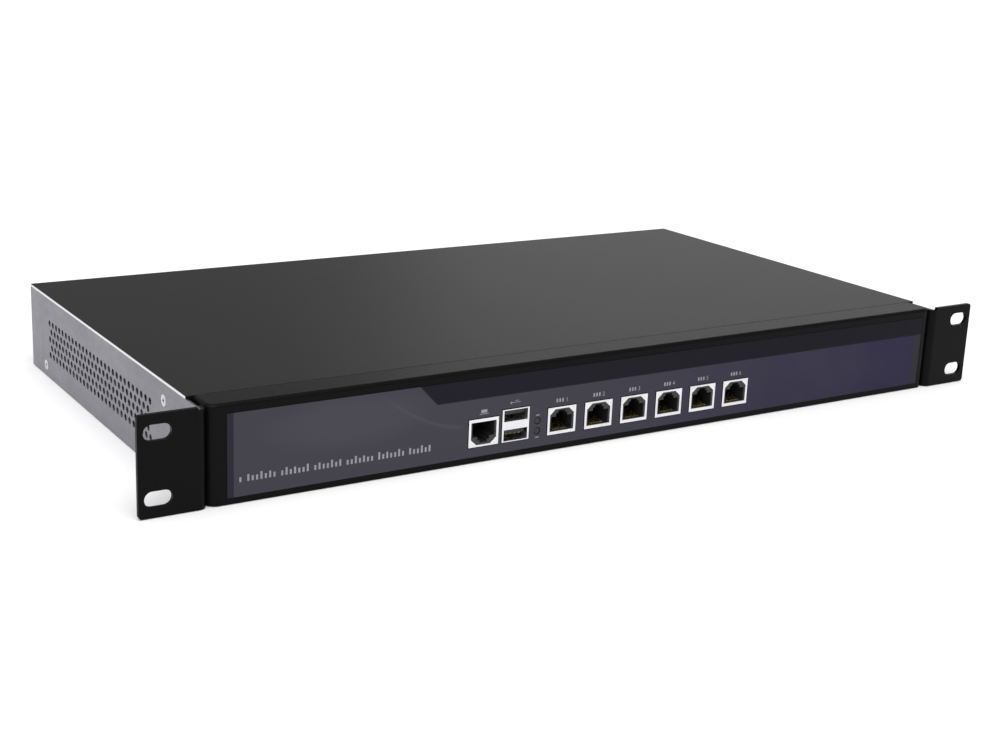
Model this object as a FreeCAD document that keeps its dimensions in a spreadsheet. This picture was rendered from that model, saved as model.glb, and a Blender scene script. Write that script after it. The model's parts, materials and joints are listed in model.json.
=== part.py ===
"""Rack-mounting firewall appliance, one rack unit high, with six network jacks.

Millimetres. +X is to the right seen from the front, +Y to the back and +Z up.
The origin is the centre of the footprint, on the underside.
Distances called "back" are measured from the front panel's face towards the rear.
"""
import FreeCAD, Part
import Sketcher
import math
import os

doc = FreeCAD.newDocument("firewall_appliance")
dim = doc.addObject("Spreadsheet::Sheet", "dim")

SIZES = (
    ("rack_width", 482.6, "over both ears, fixed by the rack"),
    ("chassis_width", 428.0, "outside of the side walls"),
    ("chassis_height", 44.5, "one rack unit"),
    ("chassis_depth", 240.0, "front panel face to cover tab"),
    ("tray_sheet", 1.0, "base tray and rear panel sheet"),
    ("cover_sheet", 1.2, "top cover sheet"),
    ("panel_sheet", 1.2, "front panel sheet"),
    ("ear_sheet", 2.0, "rack ear sheet"),
    ("fit_gap", 0.2, "clearance between pieces that are slipped together"),
    ("ear_proud", 0.7, "ear plate in front of the panel face"),
    ("ear_bend", 4.0, "outside radius of the ear's bend"),
    ("ear_corner", 1.5, "radius of the ear's free corners"),
    ("ear_flange", 52.0, "length of the ear's flange inside the wall"),
    ("slot_inset", 8.7, "rack slot centre from the ear's tip"),
    ("slot_pitch", 28.6, "rack slots, one above the other"),
    ("slot_length", 12.3, "rack slot end to end"),
    ("slot_width", 7.0, "rack slot height"),
    ("panel_corner", 5.0, "radius of the panel's upright corners"),
    ("panel_edge", 1.8, "radius of the panel's top edge"),
    ("seam_back", 16.0, "back edge of the panel's top flange"),
    ("seam_gap", 0.4, "gap between the panel and the cover"),
    ("ledge_deep", 8.0, "panel's ledge under the cover"),
    ("flange_wide", 9.0, "tray's top flange"),
    ("relief_back", 47.0, "front end of the tray's top flange"),
    ("overlay_thick", 0.25, "printed overlay"),
    ("overlay_left", 11.7, "overlay's left edge from the outside of the wall"),
    ("overlay_right", 9.4, "overlay's right edge from the outside of the wall"),
    ("overlay_low", 2.8, "overlay's lower edge"),
    ("overlay_drop", 4.5, "overlay's upper edge below the top"),
    ("vent_hole", 3.4, "vent hole diameter"),
    ("vent_pitch", 5.5, "vent holes along a row"),
    ("vent_row", 4.3, "vent rows"),
    ("vent_first", 59.0, "first vent hole, back from the face"),
    ("vent_low", 13.1, "lowest vent row"),
    ("side_screw_back", 42.3, "ear screws, back from the face"),
    ("side_screw_high", 35.3, "upper ear screws"),
    ("side_screw_low", 9.0, "lower ear screws"),
    ("tab_screw_back", 216.0, "rear panel's side screws"),
    ("tab_screw_high", 5.8, "rear panel's side screws"),
    ("screw_shank", 1.5, "radius of a three millimetre screw"),
    ("screw_head", 2.8, "radius of its head"),
    ("screw_dimple", 2.2, "radius of the hole that a flat head's cone ends in"),
    ("pan_height", 2.0, "height of a pan head"),
    ("flat_head", 1.6, "depth of a flat head"),
    ("recess_wide", 2.6, "cross recess tip to tip"),
    ("recess_thin", 0.6, "cross recess slot"),
    ("recess_deep", 1.1, "cross recess"),
    ("panel_screw_back", 10.0, "screws between panel and ear, back from the face"),
    ("panel_screw_low", 12.0, "lower screw between panel and ear"),
    ("panel_screw_high", 32.0, "upper screw between panel and ear"),
    ("tab_wide", 26.0, "cover's rear tab"),
    ("tab_drop", 10.0, "cover's rear tab below the sheet"),
    ("cover_screw_drop", 5.0, "cover screws below the sheet"),
    ("rear_tab_high", 11.0, "rear panel's side tabs"),
    ("rear_tab_deep", 6.0, "rear panel's side tabs in front of their screw"),
    ("rear_lip", 7.0, "rear panel's top lip"),
    ("rear_vent_inset", 20.0, "first rear vent from the outside of the left wall"),
    ("board_left", 94.0, "mainboard's left edge from the middle"),
    ("board_right", 98.0, "mainboard's right edge from the middle"),
    ("board_front", 3.0, "mainboard's front edge, back from the face"),
    ("board_deep", 170.0, "mainboard front to back"),
    ("board_thick", 1.6, "circuit board"),
    ("standoff_height", 5.0, "gap under the mainboard"),
    ("standoff_radius", 3.0, "standoff"),
    ("jack_wide", 16.0, "network jack shield"),
    ("jack_high", 13.3, "network jack shield"),
    ("jack_deep", 21.3, "network jack shield"),
    ("jack_proud", 0.5, "jack in front of the panel face"),
    ("jack_sheet", 0.3, "jack shield sheet"),
    ("jack_pitch", 21.3, "network jacks side by side"),
    ("jack_first", -33.0, "first network jack from the middle"),
    ("window_side", 1.2, "shield left beside its window"),
    ("window_sill", 1.5, "shield left on the side away from the latch"),
    ("window_rim", 0.9, "shield left over the latch notch"),
    ("window_neck", 7.6, "window's width at the latch notch"),
    ("window_slope", 2.7, "height of the window's sloping shoulders"),
    ("insert_gap", 0.05, "clearance round a plastic insert"),
    ("mouth_sill", 1.7, "jack opening from the side away from the latch"),
    ("contact_wide", 0.5, "jack contact"),
    ("contact_long", 8.5, "jack contact"),
    ("contact_thick", 0.35, "jack contact"),
    ("contact_pitch", 1.02, "jack contacts side by side"),
    ("console_at", -76.4, "console jack from the middle"),
    ("mouth_wide", 11.9, "jack opening"),
    ("mouth_high", 7.0, "jack opening"),
    ("mouth_deep", 14.0, "jack opening"),
    ("usb_at", -59.0, "USB socket from the middle"),
    ("usb_wide", 14.8, "double USB shell"),
    ("usb_high", 15.8, "double USB shell"),
    ("usb_deep", 17.5, "double USB shell"),
    ("usb_mouth_wide", 13.0, "USB opening"),
    ("usb_mouth_high", 5.4, "USB opening"),
    ("usb_wall", 0.5, "USB shell over, under and behind the openings"),
    ("usb_contact_pitch", 2.3, "USB contacts side by side"),
    ("tongue_wide", 11.2, "USB tongue"),
    ("tongue_thick", 1.9, "USB tongue"),
    ("tongue_drop", 0.6, "USB tongue below the opening's top"),
    ("tongue_back", 1.2, "USB tongue's tip, back from the face"),
    ("tongue_root", 4.0, "block that carries the USB tongue"),
    ("light_at", -46.7, "status lights from the middle"),
    ("light_low", 10.6, "lower status light"),
    ("light_pitch", 5.0, "status lights, one above the other"),
    ("light_radius", 1.4, "status light lens"),
    ("sink_wide", 72.0, "heat sink side"),
    ("sink_high", 24.0, "heat sink height"),
    ("controller_back", 32.0, "network controllers, back from the face"),
    ("memory_left", -82.0, "memory socket's left end from the middle"),
    ("memory_long", 70.0, "memory socket"),
    ("memory_back", 138.0, "memory socket's front edge, back from the face"),
    ("memory_arm", 1.1, "memory socket's side arms"),
    ("cell_radius", 10.0, "coin cell"),
    ("sink_back", 62.0, "heat sink front edge, back from the face"),
    ("sink_base", 4.0, "heat sink's base plate"),
    ("fin_thick", 1.2, "heat sink's fins"),
    ("sink_screw_inset", 4.0, "heat sink's screws from its sides"),
    ("chip_at", 8.0, "processor from the middle"),
    ("chip_side", 27.0, "processor side"),
    ("chip_high", 2.2, "processor height"),
    ("drive_wide", 69.9, "solid state drive"),
    ("drive_long", 100.0, "solid state drive"),
    ("drive_high", 7.0, "solid state drive"),
    ("shelf_rise", 7.0, "drive bracket's shelf above the floor"),
    ("drive_inset", 12.0, "drive's left edge from the outside of the left wall"),
    ("drive_back", 64.0, "drive's front edge, back from the face"),
    ("supply_wide", 84.0, "power supply"),
    ("supply_long", 128.0, "power supply"),
    ("supply_high", 36.0, "power supply"),
    ("supply_inset", 14.0, "power supply's right edge from the outside of the right wall"),
    ("supply_sheet", 1.2, "power supply's case"),
    ("supply_standoff", 4.0, "gap under the power supply's board"),
    ("supply_slot_pitch", 8.6, "slots in the power supply's lid"),
    ("terminal_high", 8.5, "power supply's terminal blocks"),
    ("supply_back", 62.0, "power supply's front edge, back from the face"),
    ("fan_side", 40.0, "fan frame"),
    ("fan_thick", 15.0, "fan frame"),
    ("fan_bore", 18.9, "fan opening radius"),
    ("fan_hub", 11.0, "fan hub radius"),
    ("fan_tip", 18.2, "blade tip radius"),
    ("fan_hole_pitch", 32.0, "fan screws"),
    ("fan_shaft", 1.0, "fan shaft radius"),
    ("fan_play", 0.05, "shaft and pin clearance"),
    ("fan_strut", 2.2, "fan frame's struts front to back"),
    ("fan_tube", 9.0, "fan frame's bearing tube"),
    ("fan_first", 10.0, "first fan from the middle"),
    ("fan_pitch", 46.0, "fans side by side"),
    ("fan_axis", 21.6, "fan axis above the underside"),
    ("inlet_inset", 32.0, "mains inlet from the outside of the right wall"),
    ("inlet_flange", 2.4, "mains inlet's flange"),
    ("inlet_wide", 27.6, "mains inlet body"),
    ("inlet_high", 20.0, "mains inlet body"),
    ("inlet_deep", 20.0, "mains inlet body behind the panel"),
    ("inlet_screws", 40.0, "mains inlet screw spacing"),
    ("rocker_beside", 42.0, "rocker switch from the mains inlet"),
    ("rocker_pin", 1.0, "radius of the rocker's pins"),
    ("switch_deep", 14.0, "switch housing behind the panel"),
    ("blade_spread", 3.5, "switch terminals from the middle"),
    ("rocker_half", 8.6, "rocker's half length"),
    ("rocker_wide", 11.6, "rocker width"),
    ("rocker_crown", 3.8, "rocker's ends above its axis"),
    ("rocker_tilt", 9.0, "rocker's tilt each way, degrees"),
    ("rocker_axis", 1.4, "rocker's axis in front of the rear panel's outer face"),
    ("bezel_thick", 1.6, "switch bezel"),
    ("service_high", 22.0, "inlet and switch centre above the underside"),
)

for row, (alias, value, note) in enumerate(SIZES, start=1):
    dim.set("A%d" % row, alias)
    dim.set("B%d" % row, str(value))
    dim.set("C%d" % row, note)
    dim.setAlias("B%d" % row, alias)
doc.recompute()

VENT_COLUMNS = 28
REAR_VENT_COLUMNS = 17
LAN_PORTS = 6
FANS = 2
BLADES = 7
SINK_FINS = 15
SUPPLY_SLOTS = 12
MEMORY_CHIPS = 4
CONTACTS = 8
USB_CONTACTS = 4
CONTACT_LEAN = 14

# The rocker's raised end is the rearmost point, so it settles where the middle of the footprint is.
ROCKER_TOP = "(dim.rocker_crown + dim.rocker_axis)"
TILT = "(dim.rocker_tilt * 1deg)"
ROCKER_REACH = "(%s * cos%s + dim.rocker_half * sin%s)" % (ROCKER_TOP, TILT, TILT)
FACE = "((dim.ear_proud - dim.chassis_depth + dim.cover_sheet + dim.rocker_axis - %s) / 2)" % ROCKER_REACH
HALF = "(dim.chassis_width / 2)"
WALL = "(dim.chassis_width / 2 - dim.tray_sheet)"
FLANGE = "(dim.chassis_width / 2 - dim.tray_sheet - dim.ear_sheet)"
FLOOR = "dim.tray_sheet"
ROOF = "(dim.chassis_height - dim.cover_sheet)"
REAR = "(dim.chassis_depth - dim.cover_sheet)"
TRAY_FRONT = "(dim.ear_sheet - dim.ear_proud + dim.fit_gap / 2)"
INLET_AT = "(%s - dim.inlet_inset)" % HALF
ROCKER_AT = "(%s - dim.rocker_beside)" % INLET_AT
BOARD_TOP = "(dim.tray_sheet + dim.standoff_height + dim.board_thick)"

nodes = []


def number(expression):
    """Value of an expression in the sheet's names."""
    return float(dim.evalExpression(expression))


def back(distance):
    """Y of a distance behind the front panel's face."""
    return "(%s + %s)" % (FACE, distance)


def place(thing, x, y, z):
    """Binds where a piece's own origin is."""
    for axis, expression in zip("xyz", (x, y, z)):
        thing.setExpression("Placement.Base." + axis, expression)


def box(name, x, y, z):
    """Block between (low, high) pairs of expressions; y is given back from the face."""
    block = doc.addObject("Part::Box", name)
    for size, (low, high) in zip(("Length", "Width", "Height"), (x, y, z)):
        block.setExpression(size, "(%s) - (%s)" % (high, low))
    place(block, x[0], back(y[0]), z[0])
    return block


TURNS = {
    "x": FreeCAD.Rotation(FreeCAD.Vector(0, 1, 0), 90),
    "y": FreeCAD.Rotation(FreeCAD.Vector(1, 0, 0), -90),
    "z": FreeCAD.Rotation(),
}


def cylinder(name, radius, length, x, y, z, along="y"):
    """Cylinder that starts at a point and runs along an axis; y is given back from the face."""
    rod = doc.addObject("Part::Cylinder", name)
    rod.setExpression("Radius", radius)
    rod.setExpression("Height", length)
    rod.Placement = FreeCAD.Placement(FreeCAD.Vector(), TURNS[along])
    place(rod, x, back(y), z)
    return rod


def cone(name, start_radius, end_radius, length, x, y, z, along):
    """Cone that starts at a point and runs along an axis."""
    taper = doc.addObject("Part::Cone", name)
    taper.setExpression("Radius1", start_radius)
    taper.setExpression("Radius2", end_radius)
    taper.setExpression("Height", length)
    taper.Placement = FreeCAD.Placement(FreeCAD.Vector(), TURNS[along])
    place(taper, x, back(y), z)
    return taper


def fuse(name, pieces):
    """One solid made of several."""
    joined = doc.addObject("Part::MultiFuse", name)
    joined.Shapes = pieces
    joined.Refine = True
    return joined


def group(name, pieces):
    """Separate solids kept together."""
    together = doc.addObject("Part::Compound", name)
    together.Links = pieces
    return together


def cut(name, base, tools):
    """base without the tools, which stay clear of each other."""
    result = doc.addObject("Part::Cut", name)
    result.Base = base
    result.Tool = tools[0] if len(tools) == 1 else group(name + "_tools", tools)
    return result


def node(label, thing):
    """Names a finished sub-part."""
    thing.Label = label
    nodes.append(thing)
    return thing


def new_body(name):
    """Part design body whose own Y starts at the front panel's face."""
    body = doc.addObject("PartDesign::Body", name + "_body")
    body.setExpression("Placement.Base.y", FACE)
    return body


def origin_feature(body, role):
    """One of the body's own origin planes or axes."""
    for feature in body.Origin.OriginFeatures:
        if feature.Role == role:
            return feature


def new_sketch(body, role, offset="0"):
    """Sketch on an origin plane, moved along that plane's normal."""
    sketch = body.newObject("Sketcher::SketchObject", body.Name + "_sketch")
    sketch.AttachmentSupport = (origin_feature(body, role), [""])
    sketch.MapMode = "FlatFace"
    sketch.setExpression("AttachmentOffset.Base.z", offset)
    return sketch


def fix_point(sketch, edge, end, u, v):
    """Binds both coordinates of a sketch point."""
    for kind, expression in (("DistanceX", u), ("DistanceY", v)):
        index = sketch.addConstraint(Sketcher.Constraint(kind, -1, 1, edge, end, number(expression)))
        sketch.setExpression("Constraints[%d]" % index, expression)


def outline(sketch, corners):
    """Closed outline of straight lines through (u, v) pairs of expressions."""
    first = sketch.GeometryCount
    points = [FreeCAD.Vector(number(u), number(v), 0) for u, v in corners]
    count = len(points)
    for index in range(count):
        sketch.addGeometry(Part.LineSegment(points[index], points[(index + 1) % count]), False)
    for index in range(count):
        following = first + (index + 1) % count
        sketch.addConstraint(Sketcher.Constraint("Coincident", first + index, 2, following, 1))
    for index, (u, v) in enumerate(corners):
        fix_point(sketch, first + index, 1, u, v)


def rectangle(sketch, left, right, low, high):
    """Upright rectangle between four expressions."""
    outline(sketch, ((left, low), (right, low), (right, high), (left, high)))


def circle(sketch, u, v, radius):
    """Circle with bound centre and radius."""
    edge = sketch.GeometryCount
    centre = FreeCAD.Vector(number(u), number(v), 0)
    sketch.addGeometry(Part.Circle(centre, FreeCAD.Vector(0, 0, 1), number(radius)), False)
    fix_point(sketch, edge, 3, u, v)
    index = sketch.addConstraint(Sketcher.Constraint("Radius", edge, number(radius)))
    sketch.setExpression("Constraints[%d]" % index, radius)


def rounded_rectangle(sketch, left, right, low, high, radius):
    """Upright rectangle with four round corners."""
    size = number(radius)
    normal = FreeCAD.Vector(0, 0, 1)
    near_left = "(%s + %s)" % (left, radius)
    near_right = "(%s - %s)" % (right, radius)
    near_low = "(%s + %s)" % (low, radius)
    near_high = "(%s - %s)" % (high, radius)
    centres = ((near_left, near_low), (near_right, near_low), (near_right, near_high), (near_left, near_high))
    points = [FreeCAD.Vector(number(u), number(v), 0) for u, v in centres]
    outward = [FreeCAD.Vector(x * size, y * size, 0) for x, y in ((0, -1), (1, 0), (0, 1), (-1, 0))]
    first = sketch.GeometryCount
    for corner in range(4):
        start = math.pi + corner * math.pi / 2
        arc = Part.ArcOfCircle(Part.Circle(points[corner], normal, size), start, start + math.pi / 2)
        sketch.addGeometry(arc, False)
        following = points[(corner + 1) % 4]
        side = Part.LineSegment(points[corner] + outward[corner], following + outward[corner])
        sketch.addGeometry(side, False)
    for corner in range(4):
        arc = first + 2 * corner
        following = first + (2 * corner + 2) % 8
        sketch.addConstraint(Sketcher.Constraint("Tangent", arc, 2, arc + 1, 1))
        sketch.addConstraint(Sketcher.Constraint("Tangent", arc + 1, 2, following, 1))
    for corner, (u, v) in enumerate(centres):
        arc = first + 2 * corner
        fix_point(sketch, arc, 3, u, v)
        index = sketch.addConstraint(Sketcher.Constraint("Radius", arc, size))
        sketch.setExpression("Constraints[%d]" % index, radius)


def obround(sketch, u, v, length, width):
    """Level slot with round ends."""
    radius = "((%s) / 2)" % width
    reach = "((%s) / 2 - %s)" % (length, radius)
    left = "(%s - %s)" % (u, reach)
    right = "(%s + %s)" % (u, reach)
    first = sketch.GeometryCount
    size = number(radius)
    normal = FreeCAD.Vector(0, 0, 1)
    left_centre = FreeCAD.Vector(number(left), number(v), 0)
    right_centre = FreeCAD.Vector(number(right), number(v), 0)
    up = FreeCAD.Vector(0, size, 0)
    left_circle = Part.Circle(left_centre, normal, size)
    sketch.addGeometry(Part.ArcOfCircle(left_circle, math.pi / 2, 3 * math.pi / 2), False)
    sketch.addGeometry(Part.LineSegment(left_centre - up, right_centre - up), False)
    right_circle = Part.Circle(right_centre, normal, size)
    sketch.addGeometry(Part.ArcOfCircle(right_circle, -math.pi / 2, math.pi / 2), False)
    sketch.addGeometry(Part.LineSegment(right_centre + up, left_centre + up), False)
    sketch.addConstraint(Sketcher.Constraint("Tangent", first, 2, first + 1, 1))
    sketch.addConstraint(Sketcher.Constraint("Tangent", first + 1, 2, first + 2, 1))
    sketch.addConstraint(Sketcher.Constraint("Tangent", first + 2, 2, first + 3, 1))
    sketch.addConstraint(Sketcher.Constraint("Tangent", first + 3, 2, first, 1))
    fix_point(sketch, first, 3, left, v)
    fix_point(sketch, first + 2, 3, right, v)
    index = sketch.addConstraint(Sketcher.Constraint("Radius", first, size))
    sketch.setExpression("Constraints[%d]" % index, radius)


def pad(body, sketch, length, reverse=False, midplane=False):
    """Adds a sketch's outline as a solid."""
    feature = body.newObject("PartDesign::Pad", body.Name + "_pad")
    feature.Profile = sketch
    feature.setExpression("Length", length)
    feature.Reversed = reverse
    if midplane:
        feature.SideType = "Symmetric"
    body.Tip = feature
    return feature


def pocket(body, sketch, length, reverse=False, midplane=False):
    """Cuts a sketch's outline away."""
    feature = body.newObject("PartDesign::Pocket", body.Name + "_pocket")
    feature.Profile = sketch
    feature.setExpression("Length", length)
    feature.Reversed = reverse
    if midplane:
        feature.SideType = "Symmetric"
    body.Tip = feature
    return feature


def edges_at(shape, direction, places):
    """Names of the straight edges along a direction that pass through one of the (x, y, z) places.

    A place's coordinate that is None isn't compared.
    """
    names = []
    for index, edge in enumerate(shape.Edges, start=1):
        if edge.Curve.TypeId != "Part::GeomLine":
            continue
        if abs(abs(edge.Curve.Direction.dot(direction)) - 1) > 1e-6:
            continue
        middle = edge.valueAt((edge.FirstParameter + edge.LastParameter) / 2)
        for wanted in places:
            gaps = [abs(a - b) for a, b in zip(middle, wanted) if b is not None]
            if max(gaps) < 1e-3:
                names.append("Edge%d" % index)
    return names


def round_edges(body, names, radius):
    """Rounds edges of the body's last feature."""
    base = body.Tip
    feature = body.newObject("PartDesign::Fillet", body.Name + "_fillet")
    feature.Base = (base, names)
    feature.setExpression("Radius", radius)
    body.Tip = feature
    return feature


UP = FreeCAD.Vector(0, 0, 1)
ACROSS = FreeCAD.Vector(1, 0, 0)
PLUS_MINUS = ("-1", "1")


def jack_centres():
    """Middles of the network jacks, left to right."""
    return ["(dim.jack_first + %d * dim.jack_pitch)" % index for index in range(LAN_PORTS)]


def between(middle, size):
    """(low, high) of a size about its middle."""
    return ("(%s - (%s) / 2)" % (middle, size), "(%s + (%s) / 2)" % (middle, size))


# ---- sheet metal ----------------------------------------------------------------------------------


def add_vents(body, first_x, along_axis, columns, plane, offset, depth):
    """Five rows of round holes, every other row shifted by half a pitch."""
    for rows, first_row, shift, count in ((3, 0, 0, columns), (2, 1, 0.5, columns - 1)):
        sketch = new_sketch(body, plane, offset)
        u = "(%s + %g * dim.vent_pitch)" % (first_x, shift)
        v = "(dim.vent_low + %d * dim.vent_row)" % first_row
        circle(sketch, u, v, "dim.vent_hole / 2")
        hole = pocket(body, sketch, depth, midplane=True)
        many = body.newObject("PartDesign::MultiTransform", body.Name + "_vents")
        many.Originals = [hole]
        along = body.newObject("PartDesign::LinearPattern", body.Name + "_along")
        along.Direction = (origin_feature(body, along_axis), [""])
        along.setExpression("Length", "dim.vent_pitch * %d" % (count - 1))
        along.Occurrences = count
        upward = body.newObject("PartDesign::LinearPattern", body.Name + "_upward")
        upward.Direction = (origin_feature(body, "Z_Axis"), [""])
        upward.setExpression("Length", "2 * dim.vent_row * %d" % (rows - 1))
        upward.Occurrences = rows
        many.Transformations = [along, upward]
        body.Tip = many


def base_tray():
    """Floor and vented side walls with inward flanges that carry the cover."""
    body = new_body("base_tray")
    sketch = new_sketch(body, "XZ_Plane", "-%s" % TRAY_FRONT)
    inner = "(%s - dim.flange_wide)" % HALF
    under = "(%s - dim.tray_sheet)" % ROOF
    right = ((HALF, "0"), (HALF, ROOF), (inner, ROOF), (inner, under), (WALL, under), (WALL, FLOOR))
    left = [("-(%s)" % x, z) for x, z in reversed(right)]
    outline(sketch, right + tuple(left))
    pad(body, sketch, "dim.chassis_depth - %s" % TRAY_FRONT, reverse=True)
    rear_start = "(%s - dim.tray_sheet - dim.fit_gap)" % REAR
    for start, finish in (("0", "dim.relief_back"), (rear_start, "(dim.chassis_depth + 1)")):
        relief = new_sketch(body, "XY_Plane", ROOF)
        rectangle(relief, "-%s" % WALL, "-%s" % inner, start, finish)
        rectangle(relief, inner, WALL, start, finish)
        pocket(body, relief, "dim.tray_sheet")
    nose = new_sketch(body, "YZ_Plane")
    rectangle(nose, "0", "dim.seam_back + dim.fit_gap", "-1", FLOOR)
    pocket(body, nose, "2 * %s" % WALL, midplane=True)
    add_vents(body, "dim.vent_first", "Y_Axis", VENT_COLUMNS, "YZ_Plane", "0", "dim.chassis_width + 2")
    screws = new_sketch(body, "YZ_Plane")
    for height in ("dim.side_screw_high", "dim.side_screw_low"):
        circle(screws, "dim.side_screw_back", height, "dim.screw_head + dim.fit_gap")
    circle(screws, "dim.tab_screw_back", "dim.tab_screw_high", "dim.screw_head + dim.fit_gap")
    pocket(body, screws, "dim.chassis_width + 2", midplane=True)
    node("base_tray", body)


def top_cover():
    """Flat cover with three slotted tabs that hang over the rear panel."""
    body = new_body("top_cover")
    front = "(dim.seam_back + dim.seam_gap)"
    sketch = new_sketch(body, "XY_Plane", ROOF)
    rectangle(sketch, "-(%s)" % HALF, HALF, front, "dim.chassis_depth")
    pad(body, sketch, "dim.cover_sheet")
    tabs = new_sketch(body, "XZ_Plane", "-dim.chassis_depth")
    for middle in COVER_TABS:
        low, high = between(middle, "dim.tab_wide")
        rectangle(tabs, low, high, "(%s - dim.tab_drop)" % ROOF, ROOF)
    pad(body, tabs, "dim.cover_sheet - dim.fit_gap")
    slots = new_sketch(body, "XZ_Plane", "-dim.chassis_depth")
    for middle in COVER_TABS:
        low, high = between(middle, "2 * dim.screw_shank + 2 * dim.fit_gap")
        top = "(%s + dim.screw_shank + dim.fit_gap)" % COVER_SCREW_HIGH
        rectangle(slots, low, high, "(%s - dim.tab_drop - 1)" % ROOF, top)
    pocket(body, slots, "dim.cover_sheet", reverse=True)
    node("top_cover", body)


COVER_TABS = ("-180", "-60", "98")
COVER_SCREW_HIGH = "(%s - dim.cover_screw_drop)" % ROOF


def port_openings(sketch, gap):
    """Openings for the sockets and lights in the panel or overlay."""
    jack_low = "(%s - %s)" % (BOARD_TOP, gap)
    jack_top = "(%s + dim.jack_high + %s)" % (BOARD_TOP, gap)
    for middle in [*jack_centres(), "dim.console_at"]:
        low, high = between(middle, "dim.jack_wide + 2 * (%s)" % gap)
        rectangle(sketch, low, high, jack_low, jack_top)
    low, high = between("dim.usb_at", "dim.usb_wide + 2 * (%s)" % gap)
    rectangle(sketch, low, high, jack_low, "(%s + dim.usb_high + %s)" % (BOARD_TOP, gap))
    for height in ("dim.light_low", "dim.light_low + dim.light_pitch"):
        circle(sketch, "dim.light_at", height, "dim.light_radius + %s" % gap)


def front_panel():
    """Folded panel: face, round upright corners, returns, flanges, and a ledge under the cover."""
    body = new_body("front_panel")
    block = new_sketch(body, "XY_Plane")
    rectangle(block, "-(%s)" % FLANGE, FLANGE, "0", "dim.seam_back")
    pad(body, block, "dim.chassis_height")
    doc.recompute()
    reach = number(FLANGE)
    corners = edges_at(body.Tip.Shape, UP, ((-reach, 0, None), (reach, 0, None)))
    round_edges(body, corners, "dim.panel_corner")
    doc.recompute()
    edge = edges_at(body.Tip.Shape, ACROSS, ((None, 0, number("dim.chassis_height")),))
    round_edges(body, edge, "dim.panel_edge")
    room = new_sketch(body, "XY_Plane", "(dim.chassis_height - dim.panel_sheet)")
    inner = "(%s - dim.panel_sheet)" % FLANGE
    bend = "(dim.panel_corner - dim.panel_sheet)"
    rounded_rectangle(room, "-(%s)" % inner, inner, "dim.panel_sheet", "(dim.seam_back + 2 * %s)" % bend, bend)
    pocket(body, room, "dim.chassis_height - dim.panel_sheet - dim.tray_sheet")
    ledge = new_sketch(body, "YZ_Plane")
    outline(ledge, (
        ("(dim.seam_back - dim.panel_sheet)", "(%s - dim.tray_sheet)" % ROOF),
        ("(dim.seam_back + dim.ledge_deep)", "(%s - dim.tray_sheet)" % ROOF),
        ("(dim.seam_back + dim.ledge_deep)", ROOF),
        ("dim.seam_back", ROOF),
        ("dim.seam_back", "(dim.chassis_height - dim.fit_gap)"),
        ("(dim.seam_back - dim.panel_sheet)", "(dim.chassis_height - dim.fit_gap)"),
    ))
    pad(body, ledge, "2 * %s" % inner, midplane=True)
    holes = new_sketch(body, "XZ_Plane", "-dim.panel_sheet - 1")
    port_openings(holes, "dim.fit_gap")
    pocket(body, holes, "dim.panel_sheet + 2", reverse=True)
    screws = new_sketch(body, "YZ_Plane")
    for height in PANEL_SCREW_HEIGHTS:
        circle(screws, "dim.panel_screw_back", height, "dim.screw_shank + dim.fit_gap")
    pocket(body, screws, "dim.chassis_width", midplane=True)
    node("front_panel", body)


def front_overlay():
    """Thin printed sheet stuck on the panel's face."""
    body = new_body("front_overlay")
    sketch = new_sketch(body, "XZ_Plane")
    left = "-(%s - dim.overlay_left)" % HALF
    right = "(%s - dim.overlay_right)" % HALF
    rectangle(sketch, left, right, "dim.overlay_low", "(dim.chassis_height - dim.overlay_drop)")
    pad(body, sketch, "dim.overlay_thick")
    holes = new_sketch(body, "XZ_Plane", "dim.overlay_thick")
    port_openings(holes, "2 * dim.fit_gap")
    pocket(body, holes, "dim.overlay_thick + 1")
    node("front_overlay", body)


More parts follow.
